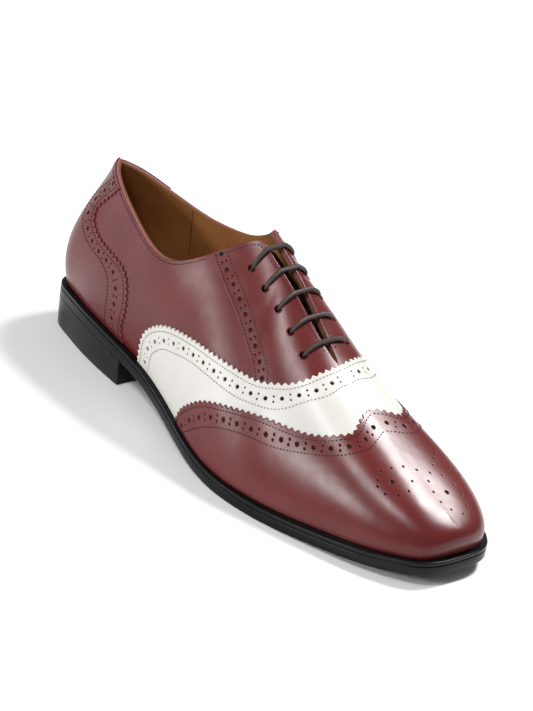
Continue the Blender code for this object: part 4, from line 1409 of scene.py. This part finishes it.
def roll_shape(tree, given):
    """A rolled leather rim round an eyelet."""
    ring = add_node(tree, "GeometryNodeCurvePrimitiveCircle",
                    {"Resolution": 28, "Radius": given.outputs["Radius"]})
    across = add_node(tree, "GeometryNodeCurvePrimitiveCircle",
                      {"Resolution": 10, "Radius": given.outputs["Roll"]})
    tube = add_node(tree, "GeometryNodeCurveToMesh",
                    {"Curve": ring.outputs["Curve"], "Profile Curve": across.outputs["Curve"]})
    return smoothed(tree, tube.outputs["Mesh"])


def stand_on(side, centres, height):
    """Points of the skin with their level runs and their normals."""
    turn = ring_turn(side, centres[:, 0])
    normal = form_normal(turn, centres[:, 1])
    return skin(turn, centres[:, 1], height) + SHIFT, unit(np.cross(normal, UP)), normal


def gathered(rows):
    return [np.concatenate(column) for column in zip(*rows)]


def add_eyelet_rims(tree, leather):
    rows = [stand_on(side, eyelet_places(side), FACING_OUT - EYELET_ROLL * 0.3) for side in BOTH]
    values = {"Radius": EYELET / 2.0 + EYELET_ROLL * 0.4, "Roll": EYELET_ROLL}
    spread("eyelet_rims", tree, *gathered(rows), np.ones((2 * EYELETS, 3)), values, leather,
           "burgundy_leather")


def spread(name, tree, points, alongs, normals, sizes, values, material, slot):
    """Runs the tree on the points and keeps what it makes as a plain mesh."""
    seeds = bpy.data.meshes.new(name + "_points")
    seeds.from_pydata([tuple(point) for point in points], [], [])
    for label, rows in (("along", alongs), ("normal", normals), ("size", sizes)):
        attribute = seeds.attributes.new(label, "FLOAT_VECTOR", "POINT")
        attribute.data.foreach_set("vector", np.asarray(rows, np.float32).ravel())
    item = bpy.data.objects.new(name, seeds)
    bpy.context.scene.collection.objects.link(item)
    modifier = item.modifiers.new(name, "NODES")
    modifier.node_group = tree
    values = dict(values, Material=material)
    for socket in tree.interface.items_tree:
        if socket.in_out == "INPUT" and socket.name in values:
            modifier[socket.identifier] = values[socket.name]
    graph = bpy.context.evaluated_depsgraph_get()
    made = bpy.data.meshes.new_from_object(item.evaluated_get(graph))
    item.modifiers.remove(modifier)
    item.data = made
    item.name = name
    return settle(item, slot)


def seam_rows(paths, sides=BOTH):
    """Stitch places on paths given with the height of the leather they lie on."""
    rows = []
    for path, height, fitted in paths:
        path, _ = resample(path, STITCH_PITCH)
        path = (path[1:] + path[:-1]) / 2.0
        for side in sides:
            own = fit_side(side, path) if fitted else path
            edge = collar_rise(ring_turn(side, own[:, 0])) - STITCH_CLEAR
            own = own[(own[:, 0] > THROAT_END_RIB) | (own[:, 1] < edge)]
            turn = ring_turn(side, own[:, 0])
            here = skin(turn, own[:, 1], height)
            rows.append((here + SHIFT, unit(np.gradient(here, axis=0)), form_normal(turn, own[:, 1])))
    return gathered(rows)


def add_seam(name, tree, paths, thread, slot, sides=BOTH):
    points, alongs, normals = seam_rows(paths, sides)
    sizes = np.ones((len(points), 3))
    values = {"Length": STITCH_LONG, "Width": STITCH_WIDE}
    spread(name, tree, points, alongs, normals, sizes, values, thread, slot)


def add_hole_shade_discs(name, tree, places, height, dark, slot):
    """Dark discs of painted shade at the feet of perforations; places are side, centres and radii."""
    rows = []
    sizes = []
    for side, centres, radii in places:
        rows.append(stand_on(side, centres, height))
        sizes.append(np.column_stack((radii * DISC_REACH, radii * DISC_REACH, np.ones(len(radii)))))
    spread(name, tree, *gathered(rows), np.concatenate(sizes), {"Depth": DISC}, dark, slot)


def cut_short(path, near, far):
    """The path without its first and last metres."""
    run = run_of(path)
    return path[(run >= near) & (run <= run[-1] - far)]


def sewn(path, height, fitted=False, near=0.001, far=0.0005):
    """A row of stitches on a path, clear of its ends."""
    return cut_short(path, near, far), height + SEWN, fitted


def add_seams(tree, thread, pale):
    for side, name in zip(BOTH, ("topline_stitches_lateral", "topline_stitches_medial")):
        inset = offset_down(side, TOPLINE_SEAM)
        ribs = inset[:, 0]
        counter_end = COUNTER_EDGE[0, 0]
        facing_start = FACING_EDGE[0, 0]
        between = (ribs > counter_end + 0.05) & (ribs < facing_start - 0.05)
        add_seam(name, tree, [
            (inset[ribs < counter_end - 0.05], COUNTER_OUT + SEWN, False),
            (inset[between], QUARTER_OUT + SEWN, False),
            (inset[ribs > facing_start + 0.08], FACING_OUT + SEWN, False),
        ], thread, "burgundy_leather", (side,))
    rear = facing_rear()
    add_seam("burgundy_stitches", tree, [
        sewn(slide(rear, -FACING_SEAM), FACING_OUT, True, 0.002, 0.0),
        sewn(slide(rear, FACING_SEAM - FACING_BAND), FACING_OUT, True, 0.004, 0.0),
        sewn(slide(collar_path(COUNTER_EDGE), EDGE_SEAM), COUNTER_OUT, True, 0.002, 0.001),
        sewn(collar_path(COUNTER_SEAM), COUNTER_OUT, True, 0.002, 0.001),
        sewn(slide(table_path(CAP_EDGE), EDGE_SEAM), CAP_OUT),
        sewn(table_path(CAP_SEAM), CAP_OUT),
    ], thread, "burgundy_leather")
    add_seam("white_stitches", tree, [
        sewn(slide(table_path(VAMP_EDGE), EDGE_SEAM), VAMP_OUT),
        sewn(table_path(VAMP_SEAM), VAMP_OUT),
    ], pale, "white_leather")
    back_seam = rib_line(LINING_SEAM, 0.30, 0.68)
    add_seam("lining_stitches", tree, [(back_seam, LINING_IN, False)], thread, "tan_lining", (MEDIAL_SIDE,))


def offset_down(side, distance):
    """A line inside one side's collar and throat edge at an even distance from it."""
    ribs = np.linspace(0.02, 9.4, 330)
    tops = collar_rise(ring_turn(side, ribs))
    rises = tops[:, None] * (1.0 - 0.25 * np.linspace(0.0, 1.0, 160)[None, :])
    grid = form(ring_turn(side, ribs)[:, None], rises)
    edge_points = grid[:, 0]
    runs = np.gradient(edge_points, axis=0)
    normals = form_normal(ring_turn(side, ribs), tops)
    inward = unit(np.cross(normals, runs)) * side
    kept = []
    for row in range(0, len(ribs), 2):
        apart = np.linalg.norm(grid - edge_points[row] - inward[row] * distance, axis=-1)
        best = np.unravel_index(apart.argmin(), apart.shape)
        here = grid[best]
        if np.linalg.norm(edge_points - here, axis=1).min() > distance * 0.8:
            kept.append((ribs[best[0]], rises[best]))
    return np.array(kept)


def new_material(name):
    material = bpy.data.materials.new(name)
    material.use_nodes = True
    return material, material.node_tree, material.node_tree.nodes["Principled BSDF"]


def texture(tree, scale, detail=2.0):
    """Soft noise that lies in the shoe's own space."""
    place = tree.nodes.new("ShaderNodeTexCoord")
    noise = {"Vector": place.outputs["Object"], "Scale": scale, "Detail": detail}
    return add_node(tree, "ShaderNodeTexNoise", noise).outputs["Fac"]


def mixed(tree, factor, first, second, low=0.35, high=0.65):
    """A colour between two, by a texture's value."""
    span = add_node(tree, "ShaderNodeMapRange", {"Value": factor, "From Min": low, "From Max": high})
    colours = {"Factor": span.outputs["Result"], "A": (*first, 1.0), "B": (*second, 1.0)}
    return add_node(tree, "ShaderNodeMix", colours, data_type="RGBA").outputs["Result"]


def bumped(tree, shader, value, strength, distance, under=None):
    given = {"Height": value, "Strength": strength, "Distance": distance}
    if under is not None:
        given["Normal"] = under
    bump = add_node(tree, "ShaderNodeBump", given)
    tree.links.new(bump.outputs["Normal"], shader.inputs["Normal"])
    return bump.outputs["Normal"]


def calf(name, colour, deep, roughness, coat, grain=0.08, waves=0.35):
    """Polished leather: burnished in soft patches, with fine pores and faint waves."""
    material, tree, shader = new_material(name)
    tree.links.new(mixed(tree, texture(tree, 38.0, 3.0), deep, colour), shader.inputs["Base Color"])
    under = bumped(tree, shader, texture(tree, 55.0), waves, 0.0006)
    bumped(tree, shader, texture(tree, 620.0), grain, 0.00006, under)
    gloss = {"Value": texture(tree, 120.0, 3.0), "To Min": roughness - 0.05, "To Max": roughness + 0.07}
    span = add_node(tree, "ShaderNodeMapRange", gloss)
    tree.links.new(span.outputs["Result"], shader.inputs["Roughness"])
    shader.inputs["Coat Weight"].default_value = coat
    shader.inputs["Coat Roughness"].default_value = 0.22
    shader.inputs["Specular IOR Level"].default_value = 0.30
    return material


def plain(name, colour, roughness, specular=0.3):
    """An even finish with a faint grain."""
    material, tree, shader = new_material(name)
    shader.inputs["Base Color"].default_value = (*colour, 1.0)
    shader.inputs["Roughness"].default_value = roughness
    shader.inputs["Specular IOR Level"].default_value = specular
    bumped(tree, shader, texture(tree, 900.0, 3.0), 0.2, 0.00008)
    return material


def cord(name, colour, light):
    """Waxed cord of a fine braid, read along and round the lace."""
    material, tree, shader = new_material(name)
    place = add_node(tree, "ShaderNodeUVMap", uv_map="cord")
    split = add_node(tree, "ShaderNodeSeparateXYZ", {"Vector": place.outputs["UV"]})
    waves = []
    for way in (1.0, -1.0):
        along = {0: split.outputs["X"], 1: math.tau * 2.0}
        along = add_node(tree, "ShaderNodeMath", along, operation="MULTIPLY")
        turned = {0: split.outputs["Y"], 1: math.tau * 4.0 * way, 2: along.outputs[0]}
        turned = add_node(tree, "ShaderNodeMath", turned, operation="MULTIPLY_ADD")
        sine = add_node(tree, "ShaderNodeMath", {0: turned.outputs[0]}, operation="SINE")
        waves.append(sine.outputs[0])
    braid = add_node(tree, "ShaderNodeMath", {0: waves[0], 1: waves[1]}, operation="MULTIPLY")
    tree.links.new(mixed(tree, braid.outputs[0], colour, light, -1.0, 1.0), shader.inputs["Base Color"])
    bumped(tree, shader, braid.outputs[0], 0.5, 0.00018)
    shader.inputs["Roughness"].default_value = 0.5
    return material


def add_light(name, place, aim, width, height, power, colour=(1.0, 1.0, 1.0)):
    data = bpy.data.lights.new(name, "AREA")
    data.shape = "RECTANGLE"
    data.size = width
    data.size_y = height
    data.energy = power
    data.color = colour
    item = bpy.data.objects.new(name, data)
    item.location = place
    item.rotation_euler = (Vector(aim) - Vector(place)).to_track_quat("-Z", "Y").to_euler()
    bpy.context.scene.collection.objects.link(item)
    return item


def add_studio():
    """A pale floor that runs to a pale surrounding, and soft lights."""
    material, tree, shader = new_material("studio_floor")
    shader.inputs["Base Color"].default_value = (0.86, 0.86, 0.87, 1.0)
    shader.inputs["Roughness"].default_value = 0.75
    corners = np.array([(-1.0, -1.0, 0.0), (1.0, -1.0, 0.0), (1.0, 1.0, 0.0), (-1.0, 1.0, 0.0)])
    floor = add_mesh("studio_floor", corners * FLOOR_REACH, [(0, 1, 2, 3)], (material,))
    world = bpy.data.worlds.new("studio")
    world.use_nodes = True
    world.node_tree.nodes["Background"].inputs["Color"].default_value = (1.0, 1.0, 1.0, 1.0)
    world.node_tree.nodes["Background"].inputs["Strength"].default_value = 0.30
    bpy.context.scene.world = world
    bpy.context.scene.view_settings.view_transform = "Standard"
    add_light("top", (0.12, 0.80, 1.32), (0.12, 0.0, 0.03), 0.44, 0.38, 34.0)
    add_light("ridge", (-0.13, -1.46, 0.62), (0.08, 0.0, 0.03), 0.32, 0.26, 10.0)
    add_light("side", (-0.86, -1.34, 0.22), (-0.02, 0.0, 0.07), 0.20, 0.36, 4.5)
    add_light("front", (0.16, -0.86, 1.28), (0.0, 0.0, 0.05), 0.32, 0.32, 10.0)


def add_camera():
    """The photograph's eye and tilt, turned a little to hold this one shoe."""
    azimuth = math.radians(PHOTO_AZIMUTH)
    elevation = math.radians(PHOTO_ELEVATION)
    roll = math.radians(PHOTO_ROLL)
    level = math.cos(elevation)
    back = Vector((math.sin(azimuth) * level, -math.cos(azimuth) * level, math.sin(elevation)))
    right = Vector((math.cos(azimuth), math.sin(azimuth), 0.0))
    over = back.cross(right)
    turned = right * math.cos(roll) + over * math.sin(roll)
    eye = PHOTO_AIM + back * PHOTO_DISTANCE
    away = (eye - SHOE_MIDDLE).normalized()
    turned = (turned - away * turned.dot(away)).normalized()
    upright = away.cross(turned)
    data = bpy.data.cameras.new("camera")
    data.sensor_width = 36.0
    data.lens = LENS
    data.clip_end = 20.0
    camera = bpy.data.objects.new("camera", data)
    turn = Matrix((turned, upright, away)).transposed().to_4x4()
    camera.matrix_world = Matrix.Translation(eye + Vector(SHIFT)) @ turn
    bpy.context.scene.collection.objects.link(camera)
    bpy.context.scene.camera = camera


def build():
    burgundy = calf("burgundy_calf", (0.101, 0.0115, 0.0118), (0.083, 0.0090, 0.0092), 0.28, 0.0)
    # Cut edge of the cap and counter: a dark burgundy edge colour, made darker still as painted shade along
    # their pinked edges.
    cut_red_painted_shade = plain("burgundy_cut_edge_painted_shade", (0.055, 0.012, 0.012), 0.7)
    pink = plain("pale_cut_edge", (0.17, 0.055, 0.048), 0.7)
    tan_edge = plain("tan_cut_edge", (0.085, 0.036, 0.014), 0.8)
    cream = calf("white_calf", (0.52, 0.508, 0.478), (0.475, 0.462, 0.434), 0.42, 0.15, 0.15, 0.25)
    cut_white = plain("white_cut_edge", (0.62, 0.58, 0.52), 0.8)
    tan = calf("tan_calf", (0.27, 0.115, 0.035), (0.20, 0.080, 0.024), 0.6, 0.0, 0.5, 0.3)
    black = plain("black_sole_finish", (0.0040, 0.0042, 0.0048), 0.26, 0.16)
    brown = cord("brown_cord", (0.018, 0.009, 0.008), (0.042, 0.023, 0.019))
    # Tongue: dark burgundy leather taken near black so the throat between the facings reads dark, partly
    # its own colour and partly painted shade.
    dark = calf("tongue_calf", (0.016, 0.007, 0.007), (0.012, 0.005, 0.005), 0.6, 0.0)
    # Painted shade: a near-black finish for the discs that close the perforations, standing in for the
    # shade inside the holes.
    hole = plain("perforation_shade", (0.012, 0.006, 0.006), 0.9)
    thread = plain("burgundy_thread", (0.018, 0.006, 0.007), 0.6)
    pale = plain("pale_thread", (0.25, 0.22, 0.18), 0.7)
    add_quarters(burgundy, pink, tan)
    add_lining(tan, tan_edge)
    vamp = add_vamp(cream, cut_white)
    cap = add_cap(burgundy, cut_red_painted_shade)
    counter = add_counter(burgundy, cut_red_painted_shade)
    facings = []
    for name, side in zip(("facing_lateral", "facing_medial"), BOTH):
        facings.append((side, *add_facing(name, side, burgundy, pink)))
    add_sole(black, tan)
    add_heel(black)
    add_tongue(dark)
    add_lace(brown)
    stitches = instance_tree("stitch_row", stitch_shape, {"Length": STITCH_LONG, "Width": STITCH_WIDE})
    add_seams(stitches, thread, pale)
    # Discs of painted shade at the foot of every perforation.
    hole_shade_discs = instance_tree("perforation_shade_disc", hole_shade_shape, {"Depth": DISC})
    on_vamp = [(side, *vamp) for side in BOTH]
    on_cap = [(side, *cap[side]) for side in BOTH]
    on_counter = [(side, *counter[side]) for side in BOTH]
    add_hole_shade_discs("vamp_hole_shade", hole_shade_discs, on_vamp, VAMP_HOLE_SHADE, hole, "white_leather")
    add_hole_shade_discs("cap_hole_shade", hole_shade_discs, on_cap, CAP_IN, hole, "burgundy_leather")
    add_hole_shade_discs("counter_hole_shade", hole_shade_discs, on_counter, QUARTER_OUT + DISC_LIFT, hole, "burgundy_leather")
    add_hole_shade_discs("facing_hole_shade", hole_shade_discs, facings, QUARTER_OUT + DISC_LIFT, hole, "burgundy_leather")
    rims = instance_tree("eyelet_rim", roll_shape, {"Radius": EYELET / 2.0, "Roll": EYELET_ROLL})
    add_eyelet_rims(rims, burgundy)
    add_studio()
    add_camera()


build()
